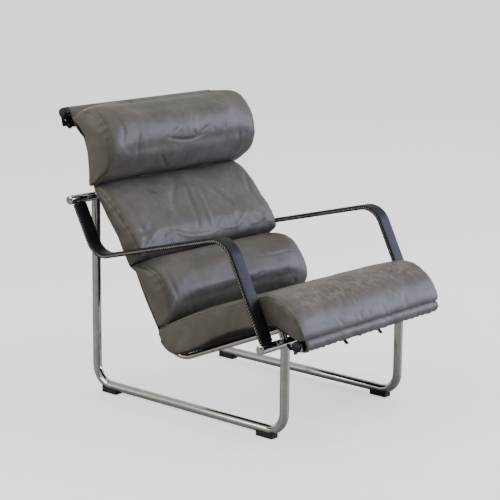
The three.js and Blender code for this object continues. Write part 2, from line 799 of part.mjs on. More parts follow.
function addPads() {
  const backPad = (shape, drawIn) => {
    const back = sheetBetween(onBack(shape.from, sheetOff), onBack(shape.to, sheetOff));
    return padGeometry(back, humpFront(shape), drawIn, padCrown);
  };
  const headTo = backLength - headBelowBar;
  const headFrom = headTo - headLength;
  const upperTo = headFrom - headGap;
  const lumbarTo = lumbarFrom + lumbarLength;
  const upperFrom = lumbarTo + lumbarGap;
  const head = { from: headFrom, to: headTo, height: headHeight, squareness: 2.9, taper: -0.07, steps: 22 };
  const upper = { from: upperFrom, to: upperTo, height: upperHeight, squareness: 4, taper: 0.45, steps: 22 };
  const lumbar = {
    from: lumbarFrom,
    to: lumbarTo,
    height: lumbarHeight,
    squareness: 2.6,
    taper: 0.05,
    leanShare: 0.13,
    steps: 22,
  };
  addMesh('head_roll', backPad(head, padDrawIn), greyLeather);
  addMesh('upper_back_pad', backPad(upper, padDrawIn / 4), greyLeather);
  addMesh('lumbar_roll', backPad(lumbar, padDrawIn), greyLeather);
  const underSeat = sheetBetween(moved(frontBar, noseAlong, wrapOff), onBack(seatBackEnd, sheetOff));
  addMesh('seat_pad', padGeometry(underSeat, seatFront(), padDrawIn / 4, padCrown / 2), greyLeather);
}

/** A strap of one width through side-plane stations, each at its own place across the chair. */
function strapGeometry(stations, acrossAt) {
  const corners = (station, across) => {
    const front = moved(station.point, station.normal, beltThickness / 2);
    const rear = moved(station.point, station.normal, -beltThickness / 2);
    const outer = across + beltWidth / 2;
    const inner = across - beltWidth / 2;
    return [
      [outer, rear.x, rear.y],
      [inner, rear.x, rear.y],
      [inner, front.x, front.y],
      [outer, front.x, front.y],
    ];
  };
  const positions = stations.flatMap((station, index) => corners(station, acrossAt(index))).flat();
  const index = [];
  const count = 4;
  for (let ring = 0; ring < stations.length - 1; ring += 1) {
    for (let corner = 0; corner < count; corner += 1) {
      const here = ring * count + corner;
      const next = ring * count + ((corner + 1) % count);
      index.push(here, next, next + count, here, next + count, here + count);
    }
  }
  const last = (stations.length - 1) * count;
  index.push(2, 1, 0, 3, 2, 0, last, last + 1, last + 2, last, last + 2, last + 3);
  const geometry = new THREE.BufferGeometry();
  geometry.setAttribute('position', new THREE.Float32BufferAttribute(positions, 3));
  geometry.setIndex(index);
  return geometryOf(solidOf(geometry));
}

// A belt's middle line where it lies on the hem, on the sling's back, and on a bare bar
const hemBeltOff = wrapOff + sheetThickness / 2 + fitGap + beltThickness / 2;
const slingBeltOff = sheetOff - sheetThickness / 2 - fitGap - beltThickness / 2;
const barBeltOff = barRadius + fitGap + beltThickness / 2;

/** A belt at a corner: sewn to the hem, it moves past the sling's edge, goes round the bar and hangs down. */
function endBeltStations({ bar, along, normal, endTail }) {
  const at = (distance, off) => nearBar(bar, along, normal, distance, off);
  const tailTop = at(0, -barBeltOff);
  const corners = [
    { at: at(-endBeltShiftStart - endBeltSewnLength, -hemBeltOff) },
    { at: at(-endBeltShiftStart, -hemBeltOff), radius: 0 },
    { at: at(-barBeltOff, -hemBeltOff), radius: hemBeltOff - barBeltOff },
    { at: at(-barBeltOff, barBeltOff), radius: barBeltOff },
    { at: at(barBeltOff, barBeltOff), radius: barBeltOff },
    { at: at(barBeltOff, -barBeltOff), radius: barBeltOff },
    { at: moved(tailTop, along, -tailBendRadius), radius: tailBendRadius },
    { at: moved(moved(tailTop, along, -tailBendRadius), downward, endTail) },
  ];
  return bentLine(corners, beltBendStep);
}

/** A belt inside the sling's width: it pulls the hem towards the sling's back, and its tail hangs free. */
function midBeltGeometry({ bar, along, normal, hem, midRun, midTail, midTurn }) {
  const turn = nearBar(bar, along, normal, -hem - midBeltClear, -hemBeltOff);
  const corners = [
    { at: nearBar(bar, along, normal, midBeltOverlap - hem, -hemBeltOff) },
    { at: turn, radius: beltWidth / 2 },
    { at: nearBar(bar, along, normal, -hem - midBeltClear - midRun, slingBeltOff), radius: beltWidth },
    ...midTurn,
  ];
  const strap = bentLine(corners, beltBendStep);
  const tail = bentLine([{ at: turn }, { at: moved(turn, downward, midTail) }]);
  const inLine = () => 0;
  return joined(strapGeometry(strap, inLine), strapGeometry(tail, inLine));
}

/** A flat frame with a middle bar, lying on the outer face of a belt. */
function buckleGeometry(point, outward) {
  const width = beltWidth + buckleMargin * 2;
  const rectangle = (from, to) => [
    new THREE.Vector2(-width / 2 + buckleBar, from),
    new THREE.Vector2(width / 2 - buckleBar, from),
    new THREE.Vector2(width / 2 - buckleBar, to),
    new THREE.Vector2(-width / 2 + buckleBar, to),
  ];
  const frame = new THREE.Shape([
    new THREE.Vector2(-width / 2, -buckleLength / 2),
    new THREE.Vector2(width / 2, -buckleLength / 2),
    new THREE.Vector2(width / 2, buckleLength / 2),
    new THREE.Vector2(-width / 2, buckleLength / 2),
  ]);
  frame.holes.push(new THREE.Path(rectangle(-buckleLength / 2 + buckleBar, -buckleBar / 2)));
  frame.holes.push(new THREE.Path(rectangle(buckleBar / 2, buckleLength / 2 - buckleBar)));
  const across = new THREE.Vector3(1, 0, 0);
  const out = new THREE.Vector3(0, outward.x, outward.y);
  const along = out.clone().cross(across);
  const lift = beltThickness / 2 + fitGap;
  return new THREE.ExtrudeGeometry(frame, { depth: buckleBar, bevelEnabled: false })
    .translate(0, 0, lift)
    .applyMatrix4(new THREE.Matrix4().makeBasis(across, along, out))
    .translate(0, point.x, point.y);
}

function addBeltsAt(place, edge) {
  const stations = endBeltStations(edge);
  const buckle = buckleGeometry(moved(edge.bar, edge.buckleSide, barBeltOff), edge.buckleSide);
  const midBelt = midBeltGeometry(edge);
  for (const { side, sign } of sides) {
    const acrossAt = (index) => sign * (index < 2 ? endBeltSewnAcross : endBeltAcross);
    addMesh(`belt_${place}_end_${side}`, strapGeometry(stations, acrossAt), strapLeather);
    addMesh(`buckle_${place}_end_${side}`, buckle, chrome, sign * endBeltAcross);
    addMesh(`belt_${place}_mid_${side}`, midBelt, strapLeather, sign * midBeltAcross);
  }
}

function addBelts() {
  const topMidBeltReach = topHem + midBeltClear + topBeltRun + midBeltSewnLength;
  addBeltsAt('top', {
    bar: topBar,
    along: backAlong,
    normal: backNormal,
    hem: topHem,
    endTail: topTailLength,
    buckleSide: backNormal.clone().negate().rotateAround(sidePoint(0, 0), radians(topBuckleTurn)),
    midRun: topBeltRun,
    midTail: topMidTailLength,
    midTurn: [{ at: onBack(backLength - topMidBeltReach, slingBeltOff) }],
  });
  addBeltsAt('front', {
    bar: frontBar,
    along: noseAlong,
    normal: noseNormal,
    hem: frontHem,
    endTail: frontTailLength,
    buckleSide: noseAlong,
    midRun: frontBeltRun,
    midTail: frontMidTailLength,
    midTurn: [
      { at: noseAndSeatCorner(slingBeltOff), radius: railNoseRadius + slingBeltOff },
      { at: onSeat(seatLength - midBeltSewnLength, slingBeltOff) },
    ],
  });
}

addSledLoops();
addFeet();
addCrossTubes();
addArmrests();
addRails();
addBars();
addSling();
addPads();
addBelts();

// The legs' middle was the origin so far; move the chair so that its own middle is.
chair.updateMatrixWorld(true);
const bounds = new THREE.Box3().setFromObject(chair);
chair.position.set(0, -(bounds.min.y + bounds.max.y) / 2, -bounds.min.z);

export default chair;
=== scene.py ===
"""Low lounge chair of bent chromed tube, with a leather sling and four sewn pads.

The hard parts repeat the CAD solids with round sections and eased edges. The pads are skinned from
measured outlines, blown up by a short cloth simulation and then creased as the real ones are.
Sizes are in millimetres, and the helpers turn them into Blender's metres.
"""

import logging
import math
from dataclasses import dataclass, field
from enum import Enum
from functools import cached_property
from itertools import pairwise, product
from typing import Iterable, Sequence

import bmesh
import bpy
import numpy as np
from mathutils import Matrix, Vector, noise
from mathutils.bvhtree import BVHTree


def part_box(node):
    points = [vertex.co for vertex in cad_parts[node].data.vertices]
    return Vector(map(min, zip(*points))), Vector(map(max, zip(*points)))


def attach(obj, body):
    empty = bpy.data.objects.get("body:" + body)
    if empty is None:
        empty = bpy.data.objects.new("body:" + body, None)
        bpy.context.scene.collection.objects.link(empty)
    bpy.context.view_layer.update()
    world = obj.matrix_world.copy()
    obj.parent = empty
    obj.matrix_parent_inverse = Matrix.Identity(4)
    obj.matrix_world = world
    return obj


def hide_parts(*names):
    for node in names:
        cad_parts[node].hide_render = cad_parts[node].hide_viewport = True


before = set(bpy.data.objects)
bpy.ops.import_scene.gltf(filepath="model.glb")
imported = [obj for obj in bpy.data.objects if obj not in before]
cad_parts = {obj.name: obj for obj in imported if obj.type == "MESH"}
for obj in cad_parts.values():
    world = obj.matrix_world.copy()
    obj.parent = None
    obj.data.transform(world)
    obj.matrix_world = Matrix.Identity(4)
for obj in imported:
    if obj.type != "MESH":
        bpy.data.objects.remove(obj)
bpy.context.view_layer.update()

MM = 0.001
BODY = "root"
PHOTO_PIXELS = 500
SENSOR = 36
CLEARANCE = 0.3
MERGE = 0.01 * MM

logging.basicConfig(level=logging.INFO, format="%(message)s")
log = logging.getLogger("lounge_chair")

BMesh = bmesh.types.BMesh
Material = bpy.types.Material
Object = bpy.types.Object
Socket = bpy.types.NodeSocket
SidePoint = tuple[float, float]
Triple = tuple[float, float, float]
Ring = list[bmesh.types.BMEdge]
Verts = list[bmesh.types.BMVert]


class Side(Enum):
    """A side of the chair as its sitter has it, with the sign of X there."""

    RIGHT = ("right", -1)
    LEFT = ("left", 1)

    @property
    def word(self) -> str:
        """The side's word in the names of nodes."""
        return self.value[0]

    @property
    def sign(self) -> int:
        """The sign of X on this side."""
        return self.value[1]


class Place(Enum):
    """Where along the chair a piece sits, by its word in the names of nodes."""

    REAR = "rear"
    FRONT = "front"
    TOP = "top"


class Slot(Enum):
    """The material slots of the part's record."""

    CHROME = "chrome_tube"
    RUBBER = "foot_rubber"
    PLASTIC = "cap_plastic"
    ARM = "arm_leather"
    HIDE = "grey_leather"
    STRAP = "strap_leather"


def share_of(value: float, start: float, span: float) -> float:
    """0 up to the start, 1 from a span beyond it, and even between them."""
    return min(1.0, max(0.0, (value - start) / span))


# Geometry of the side plane


@dataclass(frozen=True)
class SideLine:
    """A straight run of the rails in the side plane."""

    start: Vector  # Y and Z of the corner that distances are measured from
    along: Vector  # unit direction of the run, as Y and Z
    off: Vector  # unit direction away from the rails, towards the sitter

    @classmethod
    def rising(cls, start: Vector, degrees: float, way: int) -> "SideLine":
        """A run that rises by degrees from a corner, to the sign of Y that way is."""
        sine, cosine = math.sin(math.radians(degrees)), math.cos(math.radians(degrees))
        return cls(start, Vector((way * cosine, sine)), Vector((-way * sine, cosine)))

    def flat(self, along: float, off: float) -> Vector:
        """Y and Z, in millimetres, of a place given by its distances along and off the run."""
        return self.start + self.along * along + self.off * off

    def at(self, x: float, along: float, off: float) -> Vector:
        """The point in metres, at x millimetres across the chair."""
        return spatial(x, self.flat(along, off))


@dataclass(frozen=True)
class Layout:
    """Axes and lines that the whole chair hangs on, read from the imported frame."""

    leg_across: float = 250  # distance of the legs and rails from the middle plane
    seat_rise: float = 22.6  # degrees that the seat rises to the front
    back_rise: float = 60  # degrees of the back from the floor
    nose_drop: float = 39.6  # degrees that the rails turn down in front
    front_standoff: float = 35.4  # from the front cross tube's axis to the rails' axis
    rear_standoff: float = 51.9  # from the rear cross tube's axis to the rails' axis
    nose_length: float = 84.2  # from the rails' nose corner to the front bar
    rear_bend: float = 75  # radius of the rails' bend between seat and back
    nose_bend: float = 60  # radius of their bend in front

    @staticmethod
    def axis(node: str) -> Vector:
        """Y and Z of the middle of a CAD node that lies across the chair.

        Args:
            node: Name of the node.

        Returns:
            The middle of its box in the side plane, in millimetres.
        """
        low, high = (Vector(corner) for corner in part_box(node))
        middle = (low + high) / 2 / MM
        return Vector((middle.y, middle.z))

    @cached_property
    def rear_tube(self) -> Vector:
        """Axis of the rear cross tube."""
        return self.axis("cross_tube_rear")

    @cached_property
    def front_tube(self) -> Vector:
        """Axis of the front cross tube."""
        return self.axis("cross_tube_front")

    @cached_property
    def top_bar(self) -> Vector:
        """Axis of the bar that holds the sling at the top."""
        return self.axis("top_bar")

    @cached_property
    def front_bar(self) -> Vector:
        """Axis of the bar that holds the sling in front."""
        return self.axis("front_bar")

    @cached_property
    def corner(self) -> Vector:
        """Where the rails' seat line and back line meet.

        Returns:
            Y and Z of the corner.
        """
        off = SideLine.rising(self.top_bar, self.seat_rise, -1).off
        gap = (self.front_tube - self.top_bar).dot(off) + self.front_standoff
        return self.top_bar + self.upper.along * (gap / self.upper.along.dot(off))

    @cached_property
    def seat(self) -> SideLine:
        """The rails under the seat, from their rear corner forward."""
        return SideLine.rising(self.corner, self.seat_rise, -1)

    @cached_property
    def back(self) -> SideLine:
        """The rails behind the back, from their lower corner up."""
        return SideLine.rising(self.corner, self.back_rise, 1)

    @cached_property
    def nose(self) -> SideLine:
        """The rails where they turn down in front, measured forward from the front bar."""
        return SideLine.rising(self.front_bar, self.seat_rise - self.nose_drop, -1)

    @cached_property
    def upper(self) -> SideLine:
        """The back's line measured up from the top bar."""
        return SideLine.rising(self.top_bar, self.back_rise, 1)

    @cached_property
    def nose_corner(self) -> Vector:
        """Where the rails turn down in front."""
        return self.nose.flat(-self.nose_length, 0)

    @property
    def nose_out(self) -> Vector:
        """Unit direction away from the rails at the nose corner."""
        return (self.seat.off + self.nose.off).normalized()

    def over_nose(self, off: float) -> "Corner":
        """The corner in front of a line that keeps a distance off the rails."""
        reach = off / math.cos(math.radians(self.nose_drop) / 2)
        return Corner(self.nose_corner + self.nose_out * reach, self.nose_bend + off)


@dataclass(frozen=True)
class Corner:
    """A corner of a bent line in the side plane, and the radius that it is bent to."""

    at: Vector
    radius: float = 0


def spatial(x: float, place: Vector) -> Vector:
    """The point in metres of a place across the chair and its Y and Z, all in millimetres."""
    return Vector((x, place.x, place.y)) * MM


def upright(flat: Vector) -> Vector:
    """A direction of the side plane as one of space."""
    return Vector((0, flat.x, flat.y))


def placed(x: Vector, y: Vector, z: Vector, at: Vector) -> Matrix:
    """A matrix from its three axes and its origin."""
    return Matrix.Translation(at) @ Matrix((x, y, z)).transposed().to_4x4()


def across_frame(x: float, place: Vector, outward: int) -> Matrix:
    """A frame at x millimetres across the chair, whose Z points to the sign of X outward."""
    out, up = Vector((outward, 0, 0)), Vector((0, 0, outward))
    return placed(Vector((0, 1, 0)), up, out, spatial(x, place))


def cornered(line: SideLine, *rows: tuple[float, ...]) -> list[Corner]:
    """Corners from rows that give a place along and off a run, and the bend's radius."""
    return [Corner(line.flat(along, off), *radius) for along, off, *radius in rows]


def bent_frames(corners: Sequence[Corner], across: float, step: float = 6) -> list[Matrix]:
    """Frames along a line of the side plane whose corners are bends.

    Args:
        corners: The line's ends and corners, in millimetres.
        across: Where the line lies across the chair.
        step: Degrees of each bend from one frame to the next.

    Returns:
        Matrices in metres. Local Z runs along the line, and local X across the chair.
    """
    headings = [(after.at - before.at).normalized() for before, after in pairwise(corners)]
    found: list[tuple[Vector, Vector]] = [(corners[0].at, headings[0])]
    for corner, before, after in zip(corners[1:-1], headings, headings[1:]):
        turn = math.atan2(before.x * after.y - before.y * after.x, before.dot(after))
        steps = max(1, round(abs(math.degrees(turn)) / step))
        start = corner.at - before * (corner.radius * math.tan(abs(turn) / 2))
        left = Vector((-before.y, before.x))
        centre = start + left * math.copysign(corner.radius, turn)
        for index in range(steps + 1):
            turned_by = Matrix.Rotation(turn * index / steps, 2)
            found.append((centre + turned_by @ (start - centre), turned_by @ before))
    found.append((corners[-1].at, headings[-1]))
    closest = 0.2 * MM
    frames: list[Matrix] = []
    for place, heading in found:
        point = spatial(across, place)
        if frames and (frames[-1].translation - point).length < closest:
            continue
        side, ahead = Vector((1, 0, 0)), upright(heading)
        frames.append(placed(side, ahead.cross(side), ahead, point))
    return frames


def even_frames(frames: Sequence[Matrix], pitch: float) -> list[Matrix]:
    """Frames at one spacing along a line of frames.

    Args:
        frames: The line.
        pitch: The spacing, in millimetres.

    Returns:
        New frames that start half a pitch from the line's start.
    """
    made: list[Matrix] = []
    due = pitch * MM / 2
    for here, after in pairwise(frames):
        run = (after.translation - here.translation).length
        while due < run:
            made.append(here.lerp(after, due / run))
            due += pitch * MM
        due -= run
    return made


def length_of(points: Iterable[Vector]) -> float:
    """Length of a line through points."""
    return sum((after - before).length for before, after in pairwise(points))


def resampled(points: Sequence[Vector], count: int) -> list[Vector]:
    """Points at one spacing on a smooth open curve through given points.

    Args:
        points: The given points.
        count: How many stretches to divide the curve into.

    Returns:
        One point more than the count.
    """
    steps = 12
    ends = [points[0] * 2 - points[1], *points, points[-1] * 2 - points[-2]]
    dense: list[Vector] = []
    for before, here, after, last in zip(ends, points, points[1:], ends[3:]):
        for t in np.arange(steps) / steps:
            bend = 2 * here + (after - before) * t
            bend += (2 * before - 5 * here + 4 * after - last) * t**2
            dense.append((bend + (3 * here - before - 3 * after + last) * t**3) / 2)
    dense.append(points[-1])
    lengths = np.cumsum([0.0] + [(after - before).length for before, after in pairwise(dense)])
    due = np.linspace(0, lengths[-1], count + 1)
    axes = range(len(points[0]))
    columns = [np.interp(due, lengths, [point[axis] for point in dense]) for axis in axes]
    return [Vector(place) for place in zip(*columns)]


# Modelling


def new_verts(result: dict) -> Verts:
    """The corners among what a bmesh operator returned."""
    return [item for item in result["geom"] if isinstance(item, bmesh.types.BMVert)]


def carried_on(bm: BMesh, ring: Ring, move: Matrix) -> Ring:
    """Extrude a ring of edges and move the new ring.

    Args:
        bm: The mesh.
        ring: Open edges, usually a closed loop of them.
        move: What the new ring's corners are moved by.

    Returns:
        The new ring.
    """
    made = bmesh.ops.extrude_edge_only(bm, edges=ring)
    bmesh.ops.transform(bm, matrix=move, verts=new_verts(made))
    return [item for item in made["geom"] if isinstance(item, bmesh.types.BMEdge)]


def sweep(bm: BMesh, ring: Ring, frames: Sequence[Matrix], caps: bool = True) -> None:
    """Carry a ring drawn in the first frame along the others.

    Args:
        bm: The mesh that the ring is in.
        ring: The section's edges, already in the first frame.
        frames: The frames of the line.
        caps: Whether both ends are closed with a face.
    """
    first = list(ring)
    for before, after in pairwise(frames):
        ring = carried_on(bm, ring, after @ before.inverted())
    if caps:
        bmesh.ops.contextual_create(bm, geom=first)
        bmesh.ops.contextual_create(bm, geom=ring)


def tube(radius: float, frames: Sequence[Matrix], sides: int) -> BMesh:
    """A round bar along frames.

    Args:
        radius: Its radius.
        frames: The frames of its axis.
        sides: Corners of its section.

    Returns:
        Its mesh.
    """
    bm = bmesh.new()
    made = bmesh.ops.create_circle(
        bm, cap_ends=False, segments=sides, radius=radius * MM, matrix=frames[0]
    )
    sweep(bm, list({edge for vert in made["verts"] for edge in vert.link_edges}), frames)
    return bm


def flat_section(
    bm: BMesh, width: float, thickness: float, easing: float, start: Matrix, cuts: int = 0
) -> Ring:
    """A rectangle of edges with eased corners in a frame.

    Args:
        bm: An empty mesh.
        width: Its size across the chair.
        thickness: Its other size.
        easing: Radius of its corners.
        start: The frame.
        cuts: Extra corners on each of its long edges.

    Returns:
        The rectangle's edges.
    """
    verts = bmesh.ops.create_grid(bm, x_segments=1, y_segments=1, size=0.5)["verts"]
    bmesh.ops.scale(bm, vec=(width * MM, thickness * MM, 1), verts=verts)
    eased(bm, verts, easing, "VERTICES")
    bmesh.ops.delete(bm, geom=bm.faces[:], context="FACES_ONLY")
    if cuts:
        longest = max(edge.calc_length() for edge in bm.edges)
        long_edges = [edge for edge in bm.edges if edge.calc_length() > longest * 0.9]
        bmesh.ops.subdivide_edges(bm, edges=long_edges, cuts=cuts)
    bmesh.ops.transform(bm, matrix=start, verts=bm.verts)
    return bm.edges[:]


def eased(bm: BMesh, geom: list, radius: float, affect: str) -> None:
    """Round corners, affect VERTICES, or edges, affect EDGES, off with three segments."""
    how = {"offset": radius * MM, "segments": 3, "profile": 0.5, "material": -1}
    bmesh.ops.bevel(bm, geom=geom, affect=affect, clamp_overlap=affect == "EDGES", **how)


def turned(profile: Sequence[SidePoint], place: Matrix, sides: int = 48) -> BMesh:
    """Spin a profile round a frame's Z axis.

    Args:
        profile: Radius and height of each point, in millimetres.
        place: The frame.
        sides: Steps of the full turn.

    Returns:
        The mesh.
    """
    bm = bmesh.new()
    verts = [bm.verts.new(Vector((radius, 0, height)) * MM) for radius, height in profile]
    edges = [bm.edges.new(pair) for pair in pairwise(verts)]
    bmesh.ops.transform(bm, matrix=place, verts=verts)
    axis = place.to_3x3() @ Vector((0, 0, 1))
    bmesh.ops.spin(
        bm, geom=verts + edges, cent=place.translation, axis=axis, angle=math.tau, steps=sides,
        use_merge=True,
    )
    return bm


def stitch(bm: BMesh, frame_at: Matrix, length: float, thickness: float) -> None:
    """One visible stitch: a thread that dips in at both ends, along a frame's Y.

    Args:
        bm: The mesh that it is added to.
        frame_at: Where it lies; Z points out of the leather.
        length: Its length, in millimetres.
        thickness: Its thickness.
    """
    scale = Matrix.Diagonal((thickness / 2 * MM, length / 2 * MM, thickness / 2 * MM, 1))
    turn = Matrix.Rotation(math.radians(90), 4, "X")
    bmesh.ops.create_uvsphere(
        bm, u_segments=6, v_segments=4, radius=1, matrix=frame_at @ scale @ turn
    )


def made_object(name: str, bm: BMesh, materials: Sequence[Material], sharp: float = 40) -> Object:
    """Turn a bmesh into a smooth-shaded object at the origin.

    Args:
        name: Name of the object.
        bm: Its mesh, which is freed.
        materials: What its material slots hold.
        sharp: Edges that turn by more degrees than this stay sharp.

    Returns:
        The object, linked to the scene.
    """
    bmesh.ops.remove_doubles(bm, verts=bm.verts, dist=MERGE)
    bmesh.ops.recalc_face_normals(bm, faces=bm.faces)
    return mesh_object(name, bm, materials, sharp)


def mesh_object(name: str, bm: BMesh, materials: Sequence[Material], sharp: float = 180) -> Object:
    """Link a bmesh, as it is, as a smooth-shaded object.

    Args:
        name: Name of the object and of its mesh.
        bm: Its mesh, which is freed.
        materials: What its material slots hold.
        sharp: Edges that turn by more degrees than this stay sharp.

    Returns:
        The object.
    """
    mesh = bpy.data.meshes.new(name)
    bm.to_mesh(mesh)
    bm.free()
    for material in materials:
        mesh.materials.append(material)
    mesh.shade_smooth()
    if sharp < 180:
        mesh.set_sharp_from_angle(angle=math.radians(sharp))
    return linked(name, mesh)


def linked(name: str, data: bpy.types.ID) -> Object:
    """A new object of some data, linked to the scene.

    Args:
        name: Name of the object.
        data: A mesh, a light or a camera.

    Returns:
        The object.
    """
    obj = bpy.data.objects.new(name, data)
    bpy.context.scene.collection.objects.link(obj)
    return obj


def point_array(mesh: bpy.types.Mesh) -> np.ndarray:
    """A mesh's corners as an array.

    Args:
        mesh: The mesh.

    Returns:
        A row of three numbers for each corner.
    """
    values = np.empty(len(mesh.vertices) * 3)
    mesh.vertices.foreach_get("co", values)
    return values.reshape(-1, 3)


def near_line(co: np.ndarray, points: np.ndarray, width: float, tapered: bool) -> np.ndarray:
    """How near points lie to a line, from 0 far off to 1 on it.

    Args:
        co: The points in metres.
        points: The line's points in metres.
        width: Distance in millimetres at which the nearness has fallen to about a third.
        tapered: Whether the line fades and narrows towards both of its ends.

    Returns:
        One number a point.
    """
    reach = width * MM * 3
    low, high = points.min(axis=0) - reach, points.max(axis=0) + reach
    chosen = np.nonzero(((co > low) & (co < high)).all(axis=1))[0]
    near = co[chosen]
    best = np.full(len(near), np.inf)
    place = np.zeros(len(near))
    for index, (start, end) in enumerate(zip(points, points[1:])):
        run = end - start
        share = ((near - start) @ run / max(1e-12, float(run @ run))).clip(0, 1)
        distance = np.linalg.norm(near - start - share[:, None] * run, axis=1)
        nearer = distance < best
        best = np.where(nearer, distance, best)
        place = np.where(nearer, (index + share) / (len(points) - 1), place)
    taper = np.sin(np.pi * (0.06 + 0.88 * place)) ** 0.7 if tapered else np.ones(len(near))
    found = np.zeros(len(co))
    found[chosen] = np.exp(-((best / (width * MM * (0.5 + 0.5 * taper))) ** 2)) * taper
    return found


# Finishes


def linear(code: str) -> tuple[float, float, float, float]:
    """Turn an sRGB hex code into linear red, green, blue and alpha."""
    values = (int(code[index : index + 2], 16) / 255 for index in (1, 3, 5))
    return (*(v / 12.92 if v <= 0.04045 else ((v + 0.055) / 1.055) ** 2.4 for v in values), 1.0)


class Nodes:
    """A shader's node tree while it is put together."""

    def __init__(self, tree: bpy.types.NodeTree) -> None:
        """Start with an empty tree."""
        self.tree = tree
        tree.nodes.clear()

    def set_up(self, node: bpy.types.Node, **inputs: object) -> bpy.types.Node:
        """Set a node's properties, and give its inputs values or links.

        Args:
            node: The node.
            **inputs: Properties of the node, and values or output sockets for its inputs. An input
                is named in lower case with underscores, or in_ and its number.

        Returns:
            The node.
        """
        names = {socket.name.lower().replace(" ", "_"): socket for socket in reversed(node.inputs)}
        for key, value in inputs.items():
            if key.startswith("in_"):
                socket = node.inputs[int(key[3:])]
            elif key in names and not (hasattr(node, key) and isinstance(value, str)):
                socket = names[key]
            else:
                setattr(node, key, value)
                continue
            if isinstance(value, Socket):
                self.tree.links.new(value, socket)
            else:
                socket.default_value = value
        return node

    def add(self, kind: str, **inputs: object) -> bpy.types.Node:
        """Add a node of a kind, named without the word ShaderNode, and set it up."""
        return self.set_up(self.tree.nodes.new(f"ShaderNode{kind}"), **inputs)

    def ramp(self, value: Socket, *stops: tuple[float, object]) -> Socket:
        """A colour ramp.

        Args:
            value: What the ramp reads.
            *stops: Position and hex code, or position and grey value, of each stop.

        Returns:
            The ramp's colour.
        """
        node = self.add("ValToRGB", fac=value)
        elements = node.color_ramp.elements
        while len(elements) < len(stops):
            elements.new(0.5)
        for element, (position, tone) in zip(elements, stops):
            element.position = position
            element.color = linear(tone) if isinstance(tone, str) else (tone, tone, tone, 1)
        return node.outputs["Color"]

    def mixed(self, share: object, first: object, second: object, blend: str = "MIX") -> Socket:
        """Two colours mixed, with the second one's share."""
        colours = {"in_0": share, "in_6": first, "in_7": second}
        return self.add("Mix", data_type="RGBA", blend_type=blend, **colours).outputs[2]

    def reckoned(self, operation: str, first: object, second: object = 0.0) -> Socket:
        """One sum of a Math node, kept between 0 and 1."""
        node = self.add("Math", operation=operation, use_clamp=True, in_0=first, in_1=second)
        return node.outputs["Value"]

    def product(self, first: object, second: object) -> Socket:
        """Two numbers multiplied, kept between 0 and 1."""
        return self.reckoned("MULTIPLY", first, second)

    def ray(self, kind: str) -> Socket:
        """Whether a ray is of a kind, such as Camera or Glossy."""
        return self.add("LightPath").outputs[f"Is {kind} Ray"]


class Surface(Nodes):
    """A material while it is put together, with its shader and its object coordinates."""

    def __init__(self, name: str) -> None:
        """Start a material of a name."""
        self.material = bpy.data.materials.new(name)
        self.material.use_nodes = True
        super().__init__(self.material.node_tree)
        self.shader = self.add("BsdfPrincipled")
        self.add("OutputMaterial", surface=self.shader.outputs["BSDF"])
        self.place = self.add("TexCoord").outputs["Object"]

    def texture(self, kind: str, size: float, **inputs: object) -> bpy.types.Node:
        """Add a texture whose features measure a number of millimetres."""
        return self.add(f"Tex{kind}", **{"vector": self.place, "scale": 1 / (size * MM)} | inputs)

    def clouds(self, size: float, detail: float, **inputs: float) -> Socket:
        """The value of a noise whose features measure a number of millimetres."""
        return self.texture("Noise", size, detail=detail, **inputs).outputs["Fac"]

    def bump(self, height: Socket, strength: float, depth: float, **under: Socket) -> Socket:
        """A normal that follows a height, which is some millimetres deep at full strength."""
        node = self.add("Bump", strength=strength, distance=depth * MM, height=height, **under)
        return node.outputs["Normal"]

    def finished(self, **inputs: object) -> Material:
        """Set the shader up, and give the material back."""
        self.set_up(self.shader, **inputs)
        return self.material


@dataclass(frozen=True)
class PolishedChrome:
    """Chromium plate over polished steel tube: nearly a mirror, dulled by fine handling marks.

    The eye gets long bright and dark bands down each tube, a little broken by smears.
    """

    name: str = "polished_chrome"  # name of the material
    tone: str = "#d3d2cf"  # colour of the plate
    smeared: str = "#bdbab4"  # its colour in a smear
    smear: float = 26  # size of a smear
    scratch: float = 0.9  # size of a handling mark
    rough_low: float = 0.05  # roughness of the clean plate
    rough_high: float = 0.14  # roughness in a smear

    def made(self) -> Material:
        """Build the material.

        Returns:
            The material.
        """
        surface = Surface(self.name)
        smears = surface.clouds(self.smear, 5, roughness=0.6)
        return surface.finished(
            base_color=surface.ramp(smears, (0.3, self.tone), (0.75, self.smeared)),
            roughness=surface.ramp(smears, (0.42, self.rough_low), (0.78, self.rough_high)),
            normal=surface.bump(surface.clouds(self.scratch, 2), 0.05, 0.02),
            metallic=1.0,
        )


